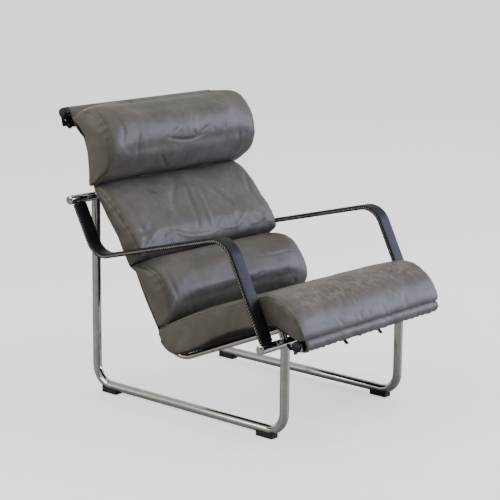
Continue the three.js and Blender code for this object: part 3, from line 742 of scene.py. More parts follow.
@dataclass(frozen=True)
class FullGrainLeather:
    """Upholstery hide, aniline dyed and lightly finished, worn where it is sat on.

    The eye gets slow changes of tone, fine pores, a soft sheen with wide highlights, and pale
    rubbed creases where the attribute wear says so. A second attribute paints shade into the
    bottoms of closed folds and seam grooves.
    """

    name: str  # name of the material
    tones: tuple[str, str, str]  # hex codes from its darkest to its lightest patches
    rubbed: str  # colour where the finish has worn through
    fold_shade: str = "#1d1b18"  # painted shade: the colour put at the bottom of a closed fold or seam groove
    patch: float = 85  # size of its slow changes of tone
    mottle: float = 9  # size of its small ones
    crackle: float = 10  # size of the plates between cracks in the worn finish
    wander: float = 24  # size of the waves that the cracks wander in
    sway: float = 0.03  # how far they wander, in metres
    scuff: float = 20  # size of a rubbed place
    crinkle: float = 30  # size of its soft lines
    # Spacing of its grain; the real one is near 0.7, and is drawn coarser to show.
    pore: float = 1.5
    roughness: float = 0.47  # of the finish
    uneven: float = 0.07  # how much smoother and rougher its mottle is
    grain_depth: float = 0.12  # height of the grain
    coat: float = 0.03  # share of clear finish over it
    wear: float = 0.0  # share of wear that it has everywhere
    shine: float = 0.38  # specular level of the hide itself

    def made(self) -> Material:
        """Build the material.

        Returns:
            The material.
        """
        surface = Surface(self.name)
        mottle = surface.clouds(self.mottle, 4, roughness=0.6)
        worn = self.worn(surface)
        lines = surface.clouds(self.crinkle, 6, roughness=0.5, distortion=0.6)
        pores = surface.texture("Voronoi", self.pore, feature="F1").outputs["Distance"]
        smooth, rough = self.roughness - self.uneven, self.roughness + self.uneven
        dull = surface.ramp(mottle, (0.2, smooth), (0.8, rough))
        return surface.finished(
            base_color=self.colour(surface, mottle, worn),
            roughness=surface.reckoned("ADD", dull, surface.product(worn, 0.22)),
            normal=surface.bump(
                pores, 0.5, self.grain_depth, normal=surface.bump(lines, 0.32, 1.6)
            ),
            coat_weight=self.coat,
            coat_roughness=0.3,
            specular_ior_level=self.shine,
        )

    def worn(self, surface: Surface) -> Socket:
        """Where the finish is rubbed or cracked, from the attribute wear.

        Args:
            surface: The material.

        Returns:
            A number from 0 to 1.
        """
        push = surface.texture("Noise", self.wander, detail=2).outputs["Color"]
        moved = surface.add("VectorMath", operation="MULTIPLY_ADD", in_0=push, in_2=surface.place)
        moved.inputs[1].default_value = (self.sway,) * 3
        cracks = surface.texture(
            "Voronoi", self.crackle, vector=moved.outputs["Vector"], feature="DISTANCE_TO_EDGE",
            randomness=1.0,
        )
        crackle = surface.ramp(cracks.outputs["Distance"], (0.0, 1.0), (0.04, 0.4), (0.1, 0.0))
        scuffed = surface.clouds(self.scuff, 8, roughness=0.72)
        scuffed = surface.ramp(scuffed, (0.42, 0.0), (0.66, 1.0))
        rubs = surface.reckoned("MAXIMUM", crackle, surface.product(scuffed, 0.7))
        marks = surface.product(rubs, scuffed)
        worn = surface.add("Attribute", attribute_name="wear").outputs["Fac"]
        return surface.product(surface.reckoned("ADD", worn, self.wear), marks)

    def colour(self, surface: Surface, mottle: Socket, worn: Socket) -> Socket:
        """The hide's colour: rubbed where worn, painted shade in closed folds and seam grooves.

        Args:
            surface: The material.
            mottle: Its small changes of tone.
            worn: How worn it is.

        Returns:
            The colour.
        """
        dark, middle, light = self.tones
        patches = surface.clouds(self.patch, 3, roughness=0.55)
        body = surface.ramp(patches, (0.3, dark), (0.52, middle), (0.74, light))
        speckle = surface.ramp(mottle, (0.3, 0.42), (0.7, 0.58))
        body = surface.mixed(0.35, body, speckle, "OVERLAY")
        body = surface.mixed(surface.product(worn, 0.85), body, linear(self.rubbed))
        # painted shade: darken closed folds and seam grooves where the pads' attribute says so
        shut = surface.add("Attribute", attribute_name="shut").outputs["Fac"]
        return surface.mixed(surface.product(shut, 0.75), body, linear(self.fold_shade))


@dataclass(frozen=True)
class MattPlastic:
    """Moulded nylon or rubber with a fine spark-eroded texture: dead black, barely shiny."""

    name: str  # name of the material
    tone: str  # its colour
    dust: str  # colour of what clings to it
    roughness: float  # of its surface
    grit: float = 0.6  # size of the texture
    fleck: float = 7  # size of a patch of dust

    def made(self) -> Material:
        """Build the material.

        Returns:
            The material.
        """
        surface = Surface(self.name)
        dust = surface.clouds(self.fleck, 6, roughness=0.7)
        dusty = surface.product(surface.ramp(dust, (0.5, 0.0), (0.75, 1.0)), 0.25)
        return surface.finished(
            base_color=surface.mixed(dusty, linear(self.tone), linear(self.dust)),
            roughness=surface.ramp(dust, (0.3, self.roughness), (0.8, self.roughness + 0.12)),
            normal=surface.bump(surface.clouds(self.grit, 2), 0.3, 0.06),
        )


@dataclass(frozen=True)
class WaxedThread:
    """Bonded polyester thread, twisted and waxed: pale, with a ply that catches the light."""

    name: str  # name of the material
    tone: str  # its colour
    soiled: str  # its colour where it is dirty
    stain: float = 14  # size of a dirty stretch
    ply: float = 0.35  # size of its twist

    def made(self) -> Material:
        """Build the material.

        Returns:
            The material.
        """
        surface = Surface(self.name)
        dirt = surface.clouds(self.stain, 4)
        return surface.finished(
            base_color=surface.ramp(dirt, (0.35, self.tone), (0.7, self.soiled)),
            roughness=0.6,
            normal=surface.bump(surface.clouds(self.ply, 1), 0.6, 0.1),
        )


def once(finish: PolishedChrome | FullGrainLeather | MattPlastic | WaxedThread) -> Material:
    """A field whose value is a finish's material."""
    return field(default_factory=finish.made, init=False)


@dataclass
class Finishes:
    """Every finish of the chair, made once."""

    chrome: Material = once(PolishedChrome())
    steel: Material = once(
        PolishedChrome("drawn_steel_bar", "#8d8f92", smear=12, rough_low=0.35, rough_high=0.5)
    )
    grey: Material = once(
        FullGrainLeather("warm_grey_hide", ("#46433e", "#504d47", "#5b5751"), "#9a9080")
    )
    # near-black underside of the sling: partly the hide's dark split side, partly painted shade
    # beneath it
    underside_and_shade: Material = once(
        FullGrainLeather(
            "black_lining_split", ("#131211", "#191817", "#201f1d"), "#3a3733", roughness=0.75,
            coat=0.0,
        )
    )
    black: Material = once(
        FullGrainLeather(
            "black_saddle_hide", ("#08090d", "#0b0c11", "#101118"), "#222226", roughness=0.5,
            wear=0.2, shine=0.24,
        )
    )
    strap: Material = once(
        FullGrainLeather(
            "black_strap_hide", ("#0e0c0b", "#12100e", "#181512"), "#4a382b", roughness=0.5,
            wear=0.4,
        )
    )
    raw: Material = once(
        FullGrainLeather(
            "raw_hide_edge", ("#2c211b", "#352822", "#41322a"), "#6a5444", roughness=0.8, coat=0.0
        )
    )
    plastic: Material = once(MattPlastic("moulded_black_nylon", "#101011", "#4b4a48", 0.5))
    rubber: Material = once(MattPlastic("moulded_black_rubber", "#191817", "#5c5852", 0.72, 0.9))
    thread: Material = once(WaxedThread("pale_waxed_thread", "#ddd9cd", "#b3ae9f"))
    dark_thread: Material = once(WaxedThread("grey_waxed_thread", "#68645c", "#4f4b45"))
    grey_thread: Material = once(WaxedThread("beige_waxed_thread", "#b2a68c", "#857c6b"))


# Steel frame


@dataclass
class Assembly:
    """A part of the chair that is built as one."""

    layout: Layout  # axes of the chair
    finishes: Finishes  # its materials
    pieces: list[Object] = field(default_factory=list, init=False)  # the pieces that it has made

    def keep(self, obj: Object, slot: Slot, *nodes: str) -> Object:
        """Attach a piece to the body that it rides on, hide the CAD nodes that it stands for, and
        keep it.

        Args:
            obj: The piece.
            slot: Its material slot; not used.
            *nodes: The nodes, if it stands for any.

        Returns:
            The piece.
        """
        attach(obj, BODY)
        if nodes:
            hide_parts(*nodes)
        self.pieces.append(obj)
        return obj

    def dress(self, node: str, material: Material) -> None:
        """Give a CAD node that stays its finish.

        Args:
            node: Name of the node.
            material: The finish.
        """
        obj = bpy.data.objects[node]
        if obj.material_slots:
            for slot in obj.material_slots:
                slot.material = material
        else:
            obj.data.materials.append(material)

    def chromed(self, name: str, bm: BMesh, node: str, sharp: float = 40) -> None:
        """Keep a mesh as a chromed piece that stands for a CAD node."""
        obj = made_object(name, bm, [self.finishes.chrome], sharp)
        self.keep(obj, Slot.CHROME, node)


@dataclass
class SledFrame(Assembly):
    """Two loops of bent tube that are legs and runners in one, on four rubber feet."""

    axis_height: float = 21  # height of the runners' axis
    bend: float = 55  # radius of the bends
    radius: float = 12.5  # of the tube
    # How far each leg's end is hidden inside its cross tube, from the tube's axis.
    tucked: float = 3
    foot_length: float = 56  # length of a foot
    foot_width: float = 26  # width of a foot
    foot_setback: float = 30.5  # from the leg's axis to the end of the foot
    foot_lip: float = 6  # how far a foot comes up round the tube
    foot_easing: float = 1.4  # radius of its edges
    foot_steps: int = 5  # stretches of its hollow that follows the bend

    def build(self) -> None:
        """Make both loops and the four feet."""
        for side in Side:
            self.loop(side)
            self.foot(side, Place.REAR, self.layout.rear_tube.x, 1)
            self.foot(side, Place.FRONT, self.layout.front_tube.x, -1)

    def loop(self, side: Side) -> None:
        """Sweep one loop from the rear cross tube down and round to the front one.

        Args:
            side: Side of the chair.
        """
        rear, front = self.layout.rear_tube, self.layout.front_tube
        corners = [
            Corner(rear - Vector((0, self.tucked))),
            Corner(Vector((rear.x, self.axis_height)), self.bend),
            Corner(Vector((front.x, self.axis_height)), self.bend),
            Corner(front - Vector((0, self.tucked))),
        ]
        frames = bent_frames(corners, side.sign * self.layout.leg_across, 4)
        bm = tube(self.radius, frames, 48)
        self.chromed(f"sled_tube_{side.word}", bm, f"sled_loop_{side.word}")

    def foot(self, side: Side, place: Place, leg: float, outward: int) -> None:
        """Mould one foot: a block whose end follows the bend, with eased edges.

        Args:
            side: Side of the chair.
            place: At the rear or in front.
            leg: Y of the leg's axis.
            outward: The sign of Y away from the chair's middle.
        """
        outer = abs(leg) - self.foot_setback
        centre = Vector((abs(leg) - self.bend, self.axis_height + self.bend))
        lip = self.bend + self.radius - self.foot_lip
        turn = math.asin((outer - centre.x) / lip)
        outline = [(outer - self.foot_length, 0), (outer, 0)]
        for index in range(self.foot_steps + 1):
            angle = turn * (1 - index / self.foot_steps)
            outline.append((centre.x + lip * math.sin(angle), centre.y - lip * math.cos(angle)))
        outline.append((outer - self.foot_length, self.axis_height - self.radius + self.foot_lip))
        x = side.sign * self.layout.leg_across - self.foot_width / 2
        bm = bmesh.new()
        verts = [bm.verts.new(spatial(x, Vector((outward * y, z)))) for y, z in outline]
        made = bmesh.ops.extrude_face_region(bm, geom=[bm.faces.new(verts)])
        bmesh.ops.translate(bm, vec=(self.foot_width * MM, 0, 0), verts=new_verts(made))
        corners = [edge for edge in bm.edges if edge.calc_face_angle(0) > math.radians(25)]
        eased(bm, corners, self.foot_easing, "EDGES")
        name = f"{place.value}_{side.word}"
        obj = made_object(f"rubber_foot_{name}", bm, [self.finishes.rubber])
        self.keep(obj, Slot.RUBBER, f"foot_{name}")


@dataclass
class CrossTubes(Assembly):
    """The two tubes across the chair, with a plugged tube end at each side for an armrest."""

    length: float = 583  # of the tube between the tube ends
    end_length: float = 57.5  # of each tube end
    radius: float = 12.5  # of both
    joint: float = 0.7  # depth of the groove where they meet
    mouth: float = 0.5  # how much the open end of a tube end is eased
    sides: int = 56  # steps round them

    def build(self) -> None:
        """Make both tubes with their ends and plugs."""
        half, r, e = self.length / 2, self.radius, self.joint
        profile = [(0, -half), (r - e, -half), (r, -half + e), (r, half - e), (r - e, half)]
        profile.append((0, half))
        for place, axis in (
            (Place.REAR, self.layout.rear_tube), (Place.FRONT, self.layout.front_tube)
        ):
            name = f"cross_tube_{place.value}"
            bm = turned(profile, across_frame(0, axis, 1), self.sides)
            self.chromed(f"chromed_{name}", bm, name, 30)
            for side in Side:
                self.end(f"{place.value}_{side.word}", axis, side)

    def end(self, name: str, axis: Vector, side: Side) -> None:
        """Make one tube end and the domed plug in it.

        Args:
            name: Words for its end of the chair and its side.
            axis: Y and Z of the tube.
            side: Side of the chair.
        """
        r, e, m, length = self.radius, self.joint, self.mouth, self.end_length
        start = across_frame(side.sign * (self.length / 2 + CLEARANCE), axis, side.sign)
        profile = [(0, 0), (r - e, 0), (r, e), (r, length - m), (r - m, length), (0, length)]
        bm = turned(profile, start, self.sides)
        self.chromed(f"armrest_tube_{name}", bm, f"tube_end_{name}", 30)
        self.chromed(
            f"domed_plug_{name}", turned(self.dome(), start, self.sides), f"dome_cap_{name}", 50
        )

    def dome(self) -> list[SidePoint]:
        """Profile of a plug: a thin rim, a low dome, and a dimple in its middle.

        Returns:
            Radius and height of each point from the tube end's start.
        """
        r, seat = self.radius, self.end_length + CLEARANCE
        rim = [(0, seat), (r - 0.6, seat), (r - 0.1, seat + 0.4), (r - 0.1, seat + 1.1)]
        angles = np.radians([14, 30, 46, 62, 76])
        dome = [(r * math.cos(a), seat + 1.2 + 3 * math.sin(a)) for a in angles]
        return [*rim, *dome, (1.6, seat + 4.15), (1.2, seat + 3.9), (0, seat + 3.85)]


@dataclass
class SeatRails(Assembly):
    """Two bent rails that carry the sling, each on two short standoffs from the cross tubes."""

    radius: float = 8  # of the rails
    post_radius: float = 10  # of a standoff
    # How far a standoff goes into the tube and the rail, from where their axes are.
    buried: float = 4

    def build(self) -> None:
        """Make both rails and their standoffs."""
        lay = self.layout
        corners = [
            Corner(lay.front_bar),
            Corner(lay.nose_corner, lay.nose_bend),
            Corner(lay.corner, lay.rear_bend),
            Corner(lay.top_bar),
        ]
        for side in Side:
            frames = bent_frames(corners, side.sign * lay.leg_across, 4)
            bm = tube(self.radius, frames, 40)
            self.chromed(f"bent_rail_{side.word}", bm, f"seat_rail_{side.word}")
            self.post(f"front_{side.word}", side, lay.front_tube, lay.seat.off, lay.front_standoff)
            self.post(f"rear_{side.word}", side, lay.rear_tube, lay.back.off, lay.rear_standoff)

    def post(self, name: str, side: Side, axis: Vector, off: Vector, length: float) -> None:
        """Turn one standoff, with a weld collar where it stands on the cross tube.

        Args:
            name: Words for its end of the chair and its side.
            side: Side of the chair.
            axis: Y and Z of the cross tube.
            off: Direction from there to the rail.
            length: From the tube's axis to the rail's.
        """
        x, z = Vector((1, 0, 0)), upright(off)
        start = placed(x, z.cross(x), z, spatial(side.sign * self.layout.leg_across, axis))
        r, low, high = self.post_radius, self.buried, length - self.buried
        collar = [(0, low), (r + 1.4, low), (r + 1.4, 9.6), (r + 0.5, 11.2), (r, 12.6)]
        bm = turned([*collar, (r, high), (0, high)], start, 40)
        self.chromed(f"post_{name}", bm, f"standoff_{name}", 50)


@dataclass
class SlingBars(Assembly):
    """The bars at both ends of the sling, with a black plug in each end."""

    length: float = 604  # of a bar
    radius: float = 12  # of a bar
    cap_radius: float = 13  # of a plug's head
    cap_thickness: float = 5  # of a plug's head

    def build(self) -> None:
        """Make both bars and their plugs."""
        half, r = self.length / 2, self.radius
        for place, axis in ((Place.TOP, self.layout.top_bar), (Place.FRONT, self.layout.front_bar)):
            word = place.value
            bm = turned([(0, -half), (r, -half), (r, half), (0, half)], across_frame(0, axis, 1))
            self.chromed(f"chromed_bar_{word}", bm, f"{word}_bar", 30)
            for side in Side:
                start = across_frame(side.sign * (half + CLEARANCE), axis, side.sign)
                name = f"{word}_{side.word}"
                obj = made_object(
                    f"black_plug_{name}", turned(self.plug(), start), [self.finishes.plastic], 60
                )
                self.keep(obj, Slot.PLASTIC, f"bar_cap_{name}")

    def plug(self) -> list[SidePoint]:
        """Profile of a plug's head, rounded outside.

        Returns:
            Radius and height of each point.
        """
        r, t = self.cap_radius, self.cap_thickness
        outside = [(r, t - 1.6), (r - 0.5, t - 0.6), (r - 1.7, t), (0, t + 0.2)]
        return [(0, 0), (r - 0.8, 0), (r, 0.8), *outside]


# Armrests


@dataclass
class Armrests(Assembly):
    """Flat steel bars wrapped in black leather that is sewn along both edges."""

    across: float = 319  # distance of an armrest's middle from the middle plane
    width: float = 44  # of the leather
    thickness: float = 12  # of the leather over the bar
    easing: float = 3.6  # radius of its long edges
    crown: float = 0.7  # how much its wide faces stand up in the middle
    bend: float = 62  # radius of its bends
    rear_reach: float = 82.7  # from the rear tube to the lower corner
    rear_drop: float = 152.8  # as above, downward
    front_reach: float = 134.4  # from the front tube to the upper corner
    front_rise: float = 266.5  # as above, upward
    setback: float = 15  # of the leather from the tubes' axes
    roll: float = 2.2  # width of the rounding at its ends
    push: float = 1.1  # how far its ends stand out
    pitch: float = 7.6  # of the stitches
    slant: float = 50  # degrees that they slant by
    stitch_size: SidePoint = (8.2, 1.35)  # their length and thickness

    def build(self) -> None:
        """Make the leather and stitches of both armrests, and give their steel its finish."""
        for side in Side:
            frames = bent_frames(self.corners(), side.sign * self.across, 3)
            self.cover(side, frames)
            self.stitches(side, frames)
            self.dress(f"armrest_core_{side.word}", self.finishes.steel)

    def corners(self) -> list[Corner]:
        """The armrest's line from the rear tube to the front tube.

        Returns:
            Its ends and corners.
        """
        rear, front = self.layout.rear_tube, self.layout.front_tube
        low = rear + Vector((-self.rear_reach, -self.rear_drop))
        high = front + Vector((self.front_reach, self.front_rise))
        return [
            Corner(rear + (low - rear).normalized() * self.setback),
            Corner(low, self.bend),
            Corner(high, self.bend),
            Corner(front + (high - front).normalized() * self.setback),
        ]

    def cover(self, side: Side, frames: list[Matrix]) -> None:
        """Sweep the leather, crowned on its wide faces and rounded at its ends.

        Args:
            side: Side of the chair.
            frames: The armrest's line.
        """
        bm = bmesh.new()
        flat = Matrix.Identity(4)
        ring = flat_section(bm, self.width, self.thickness, self.easing, flat, cuts=7)
        half = self.width / 2 * MM
        for vert in bm.verts:
            share = 1 - (vert.co.x / half) ** 2
            vert.co.y += math.copysign(self.crown * MM * share, vert.co.y)
        bmesh.ops.transform(bm, matrix=frames[0], verts=bm.verts)
        sweep(bm, ring, frames)
        at_end = 2 * MM
        for here, inner in ((frames[0], frames[1]), (frames[-1], frames[-2])):
            end, ahead = here.translation, here.translation - inner.translation
            caps = [f for f in bm.faces if (f.calc_center_median() - end).length < at_end]
            bmesh.ops.inset_region(bm, faces=caps, thickness=self.roll * MM)
            verts = list({vert for face in caps for vert in face.verts})
            bmesh.ops.translate(bm, vec=ahead.normalized() * self.push * MM, verts=verts)
        obj = made_object(f"armrest_leather_{side.word}", bm, [self.finishes.black], 50)
        self.keep(obj, Slot.ARM, f"armrest_cover_{side.word}")

    def stitches(self, side: Side, frames: list[Matrix]) -> None:
        """Lay a row of slanted stitches along each edge of the leather.

        Args:
            side: Side of the chair.
            frames: The armrest's line.
        """
        bm = bmesh.new()
        edge_off = (self.width / 2 - 0.1) * MM
        slant = Matrix.Rotation(math.radians(self.slant), 4, "Z")
        for edge in (-1, 1):
            out = Matrix.Translation((edge * edge_off, 0, 0))
            facing = Matrix.Rotation(math.radians(90 * edge), 4, "Y")
            for place in even_frames(frames, self.pitch):
                stitch(bm, place @ out @ facing @ slant, *self.stitch_size)
        obj = made_object(f"armrest_stitches_{side.word}", bm, [self.finishes.thread])
        self.keep(obj, Slot.ARM)


# Sling


@dataclass(frozen=True)
class Rim:
    """How far the sling's side edge stands up beside the rolls and dips between them."""

    # Distance along the back's line and lift of the edge, in millimetres.
    back: tuple[SidePoint, ...] = (
        (0, 6), (60, 14), (98, 17), (168, 14), (207, 14), (262, 17), (284, 2), (330, 0), (370, 2),
        (436, -9), (500, -15), (520, -18), (548, -12), (580, 0), (611, 9), (665, 20), (700, 14),
        (731, 6), (760, 0),
    )
    # The same along the seat's line.
    seat: tuple[SidePoint, ...] = (
        (0, 8), (60, 4), (110, 4), (160, 9), (200, 15.5), (240, 18.5), (280, 19.5), (320, 17.5),
        (360, 12.5), (400, 6), (440, 0),
    )
    flat_half: float = 252  # from the middle plane to where the lift starts
    half: float = 289  # from the middle plane to the sling's edge

    def lift(self, table: tuple[SidePoint, ...], x: float, along: float) -> float:
        """The lift in millimetres at a place across the chair and along a table's line."""
        beyond = max(0.0, abs(x) - self.flat_half) / (self.half - self.flat_half)
        return float(np.interp(along, *zip(*table))) * beyond**1.5


@dataclass
class Sling(Assembly):
    """One hide on the rails round both bars; near-black underside: dark split side plus painted
    shade.
    """

    width: float = 578  # of the hide
    thickness: float = 3  # of the hide
    rail_off: float = 9.8  # from the rails' axis to its middle
    wrap_off: float = 13.8  # from a bar's axis to its middle
    front_hem: float = 16  # how far it comes back under the front bar
    top_hem: float = 40  # how far it comes down behind the top bar
    leaves: float = 16  # from a bar's axis to where the hide leaves the bar
    settles_front: float = 45  # from the front bar's axis to where it lies on the rails
    settles_top: float = 60  # from the top bar's axis to where it lies on the rails
    ease: float = 60  # radius of its bends there
    columns: int = 72  # stretches across it
    pitch: float = 7  # length of its stretches along it
    sag: float = 2  # how far it sags in its middle
    sag_half: float = 240  # from the middle plane to where the sag ends
    pleat_reach: float = 30  # distance from the front bar's axis within which it has pleats
    pleat_height: float = 3.6  # of a pleat
    billow: float = 8  # how far it stands off the front bar towards the seat's line

    def line(self) -> list[Matrix]:
        """Frames of the hide's middle line from its front hem to its top hem.

        Returns:
            The frames.
        """
        lay, off, wrap = self.layout, self.rail_off, self.wrap_off
        bend = (lay.seat.along + lay.back.along).normalized()
        half = math.acos(lay.seat.along.dot(lay.back.along)) / 2
        inner = lay.corner + bend * (off / math.sin(half))
        leaves, ease = -self.leaves, self.ease
        front = [(-self.front_hem, -wrap), (wrap, -wrap, wrap), (wrap, wrap, wrap)]
        top = [(wrap, wrap, wrap), (wrap, -wrap, wrap), (-self.top_hem, -wrap)]
        corners = [
            *cornered(lay.nose, *front, (leaves, wrap, ease), (-self.settles_front, off, ease)),
            lay.over_nose(off),
            Corner(inner, lay.rear_bend - off),
            *cornered(lay.upper, (-self.settles_top, off, ease), (leaves, wrap, ease), *top),
        ]
        frames = bent_frames(corners, 0, 8)
        return [frames[0], *even_frames(frames, self.pitch), frames[-1]]

    def build(self) -> None:
        """Make the hide."""
        frames = self.line()
        bm = bmesh.new()
        strip = bmesh.ops.create_grid(bm, x_segments=self.columns, y_segments=1, size=0.5)["verts"]
        bmesh.ops.scale(bm, vec=(self.width * MM, 0, 1), verts=strip)
        bmesh.ops.remove_doubles(bm, verts=bm.verts, dist=MERGE)
        ring = [edge for edge in bm.edges if edge.calc_length() > 1 * MM]
        bmesh.ops.transform(bm, matrix=frames[0], verts=bm.verts)
        sweep(bm, ring, frames, caps=False)
        self.shape(bm)
        self.face_sitter(bm)
        finishes = self.finishes
        obj = mesh_object("leather_sling", bm, [finishes.grey, finishes.underside_and_shade, finishes.raw])
        # the underside takes the near-black finish, which also stands for painted shade under the
        # sling
        solid = obj.modifiers.new("thickness", "SOLIDIFY")
        solid.thickness = self.thickness * MM
        solid.offset = 0
        solid.material_offset = 1
        solid.material_offset_rim = 2
        self.keep(obj, Slot.HIDE, "sling_sheet")
        flat = (self.width * MM, length_of(frame_at.translation for frame_at in frames))

    def face_sitter(self, bm: BMesh) -> None:
        """Turn the hide's grain side to the sitter, as the material slots have it.

        Args:
            bm: The hide.
        """
        bmesh.ops.recalc_face_normals(bm, faces=bm.faces)
        back = self.layout.back.at(0, 300, 10)
        middle = min(bm.faces, key=lambda face: (face.calc_center_median() - back).length)
        if middle.normal.dot(upright(self.layout.back.off)) < 0:
            bmesh.ops.reverse_faces(bm, faces=bm.faces)

    def shape(self, bm: BMesh) -> None:
        """Bend the side edges, sag the hide between the rails, and pleat its front hem.

        Args:
            bm: The hide.
        """
        bm.normal_update()
        lay = self.layout
        for vert in bm.verts:
            x = vert.co.x / MM
            place = Vector((vert.co.y, vert.co.z)) / MM
            normal = vert.normal.copy()
            if normal.dot(upright(lay.back.off + lay.seat.off)) < 0:
                normal.negate()
            middle = math.cos(min(1.0, abs(x) / self.sag_half) * math.pi / 2)
            sag = -self.sag * middle * self.inside(place)
            vert.co += normal * ((self.lift(x, place) + sag) * MM)
            if (place - lay.front_bar).length < self.pleat_reach:
                out = upright(place - lay.front_bar).normalized()
                vert.co += out * (self.pleat(x, place, out) * MM)

    def lift(self, x: float, place: Vector) -> float:
        """How far the hide's edge stands up from the rails.

        Args:
            x: Place across the chair, in millimetres.
            place: Y and Z of the point, in millimetres.

        Returns:
            The lift in millimetres.
        """
        rim, past_corner = Rim(), 60
        back = (place - self.layout.corner).dot(self.layout.back.along)
        seat = (place - self.layout.corner).dot(self.layout.seat.along)
        behind = back > past_corner or seat < 0
        lift = rim.lift(rim.back, x, back) if behind else rim.lift(rim.seat, x, seat)
        return lift * self.inside(place)

    def pleat(self, x: float, place: Vector, out: Vector) -> float:
        """How far the hem stands off the front bar: slanted pleats, fuller above.

        Args:
            x: Place across the chair, in millimetres.
            place: Y and Z of the point, in millimetres.
            out: Direction away from the bar.

        Returns:
            The distance in millimetres, 0 behind the bar.
        """
        if out.dot(upright(self.layout.nose.along)) <= -0.2:
            return 0.0
        slanted = x + 1.6 * (place.y - self.layout.front_bar.y)
        waves = noise.noise(Vector((x / 60, slanted / 16, 3.1)))
        waves += 0.4 * noise.noise(Vector((x / 14, 0, 8)))
        billow = self.billow * max(0.0, out.dot(upright(self.layout.seat.along)))
        return max(-0.2, 0.5 + waves) * self.pleat_height + billow

    def inside(self, place: Vector) -> float:
        """1 away from the bars and 0 at them, where the hide can't sag."""
        bars = (self.layout.top_bar, self.layout.front_bar)
        return share_of(min((place - bar).length for bar in bars), 30, 60)


# Pads


@dataclass(frozen=True)
class Crease:
    """A fold pressed into a pad, or a ridge where the depth is negative."""

    # Places across the chair, along the pad's line and off it, that it passes.
    points: tuple[Triple, ...]
    width: float  # of the fold
    depth: float  # of the fold in its middle
    dark: float = 0.0  # how much painted shade darkens its bottom, from 0 to 1
    pale: float = 0.0  # how much it is rubbed pale, from 0 to 1


def creased(*rows: tuple) -> tuple[Crease, ...]:
    """Creases from rows of their values."""
    return tuple(Crease(*row) for row in rows)


@dataclass(frozen=True)
class PadShape:
    """What sets one pad apart."""

    name: str  # name of its object
    node: str  # the CAD node that it stands for
    # Its front at the end seams, from its lower or rear tip on, along and off its line.
    end: tuple[SidePoint, ...]
    middle: tuple[SidePoint, ...]  # its fuller front in the middle, from the same tip on
    # Its underside from the last tip back to the first, where it isn't straight.
    under: tuple[SidePoint, ...] = ()
    half_width: float = 290  # from the middle plane to the end seam
    rounding: float = 46  # how far from the end seam it reaches its full height
    bulge: float = 7  # how far the end panel swells
    rim: tuple[SidePoint, ...] = ()  # lifts of the sling's edge that its underside follows
    creases: tuple[Crease, ...] = ()  # its folds
    flare: float = 0  # how much wider it grows at its far end, ahead of the armrests
    swell: float = 7  # how far the simulation moves it
    fill: float = 0.7  # how full it is, from 0 to 1
    fine: float = 1.0  # strength of its small wrinkles
    wear: float = 0.3  # share of wear on its high parts
    rows: tuple[float, ...] = (5.5,)  # distances of its rows of stitches from the end seams
    pale_thread: bool = False  # whether the stitches are sewn in the pale thread


# The head roll, the fullest of the pads.
HEAD = PadShape(
    "head_roll_pad", "head_roll", half_width=301, rim=Rim.back, swell=6.5, fill=0.85, wear=0.08,
    end=(
        (533, 13), (532, 48), (543, 86), (563, 108), (586, 121), (627, 134), (663, 130),
        (690, 119), (717, 97), (731, 60), (731, 31), (729, 13),
    ),
    middle=(
        (531.7, 13), (531.5, 48), (542.9, 87.6), (560, 116), (581.3, 135.3), (624.1, 148.4),
        (668, 147), (706, 137), (728, 112), (736, 78), (737, 40), (733, 13),
    ),
    creases=creased(
        (((-90, 593, 140), (-68, 586, 138), (-28, 579, 134), (9, 577, 133), (40, 581, 135),
          (68, 588, 138), (83, 597, 142)), 5, 2.8, 0.4),
        (((-77, 595, 141), (-66, 610, 145), (-47, 619, 148)), 5, 2.6, 0.2, 0.1),
        (((-42, 589, 139), (-39, 600, 143), (-26, 612, 146)), 5, 2.6, 0.2),
        (((-11, 589, 139), (-7, 604, 144), (2, 617, 147)), 5, 2.4, 0.15, 0.1),
        (((29, 584, 137), (18, 603, 144)), 5, 2.2, 0.15),
        (((36, 585, 137), (67, 600, 143), (96, 611, 146)), 6, 2.8, 0.25),
        (((103, 592, 140), (111, 607, 145)), 5, 2, 0.1, 0.1),
        (((152, 589, 139), (159, 609, 145)), 6, 2, 0.1),
        (((-1, 704, 138), (-5, 669, 147), (-22, 630, 149)), 4, 1.2, 0.15),
        (((-109, 554, 108), (-53, 532, 53)), 6, 2.4, 0.15),
        (((-200, 560, 110), (-204, 590, 138), (-196, 620, 147)), 9, 2.4, 0.1),
        (((-262, 600, 130), (-250, 630, 140), (-252, 665, 138)), 7, 2.4, 0.1),
        (((225, 560, 110), (215, 590, 138), (222, 620, 147)), 9, 2.2, 0.1),
    ),
)

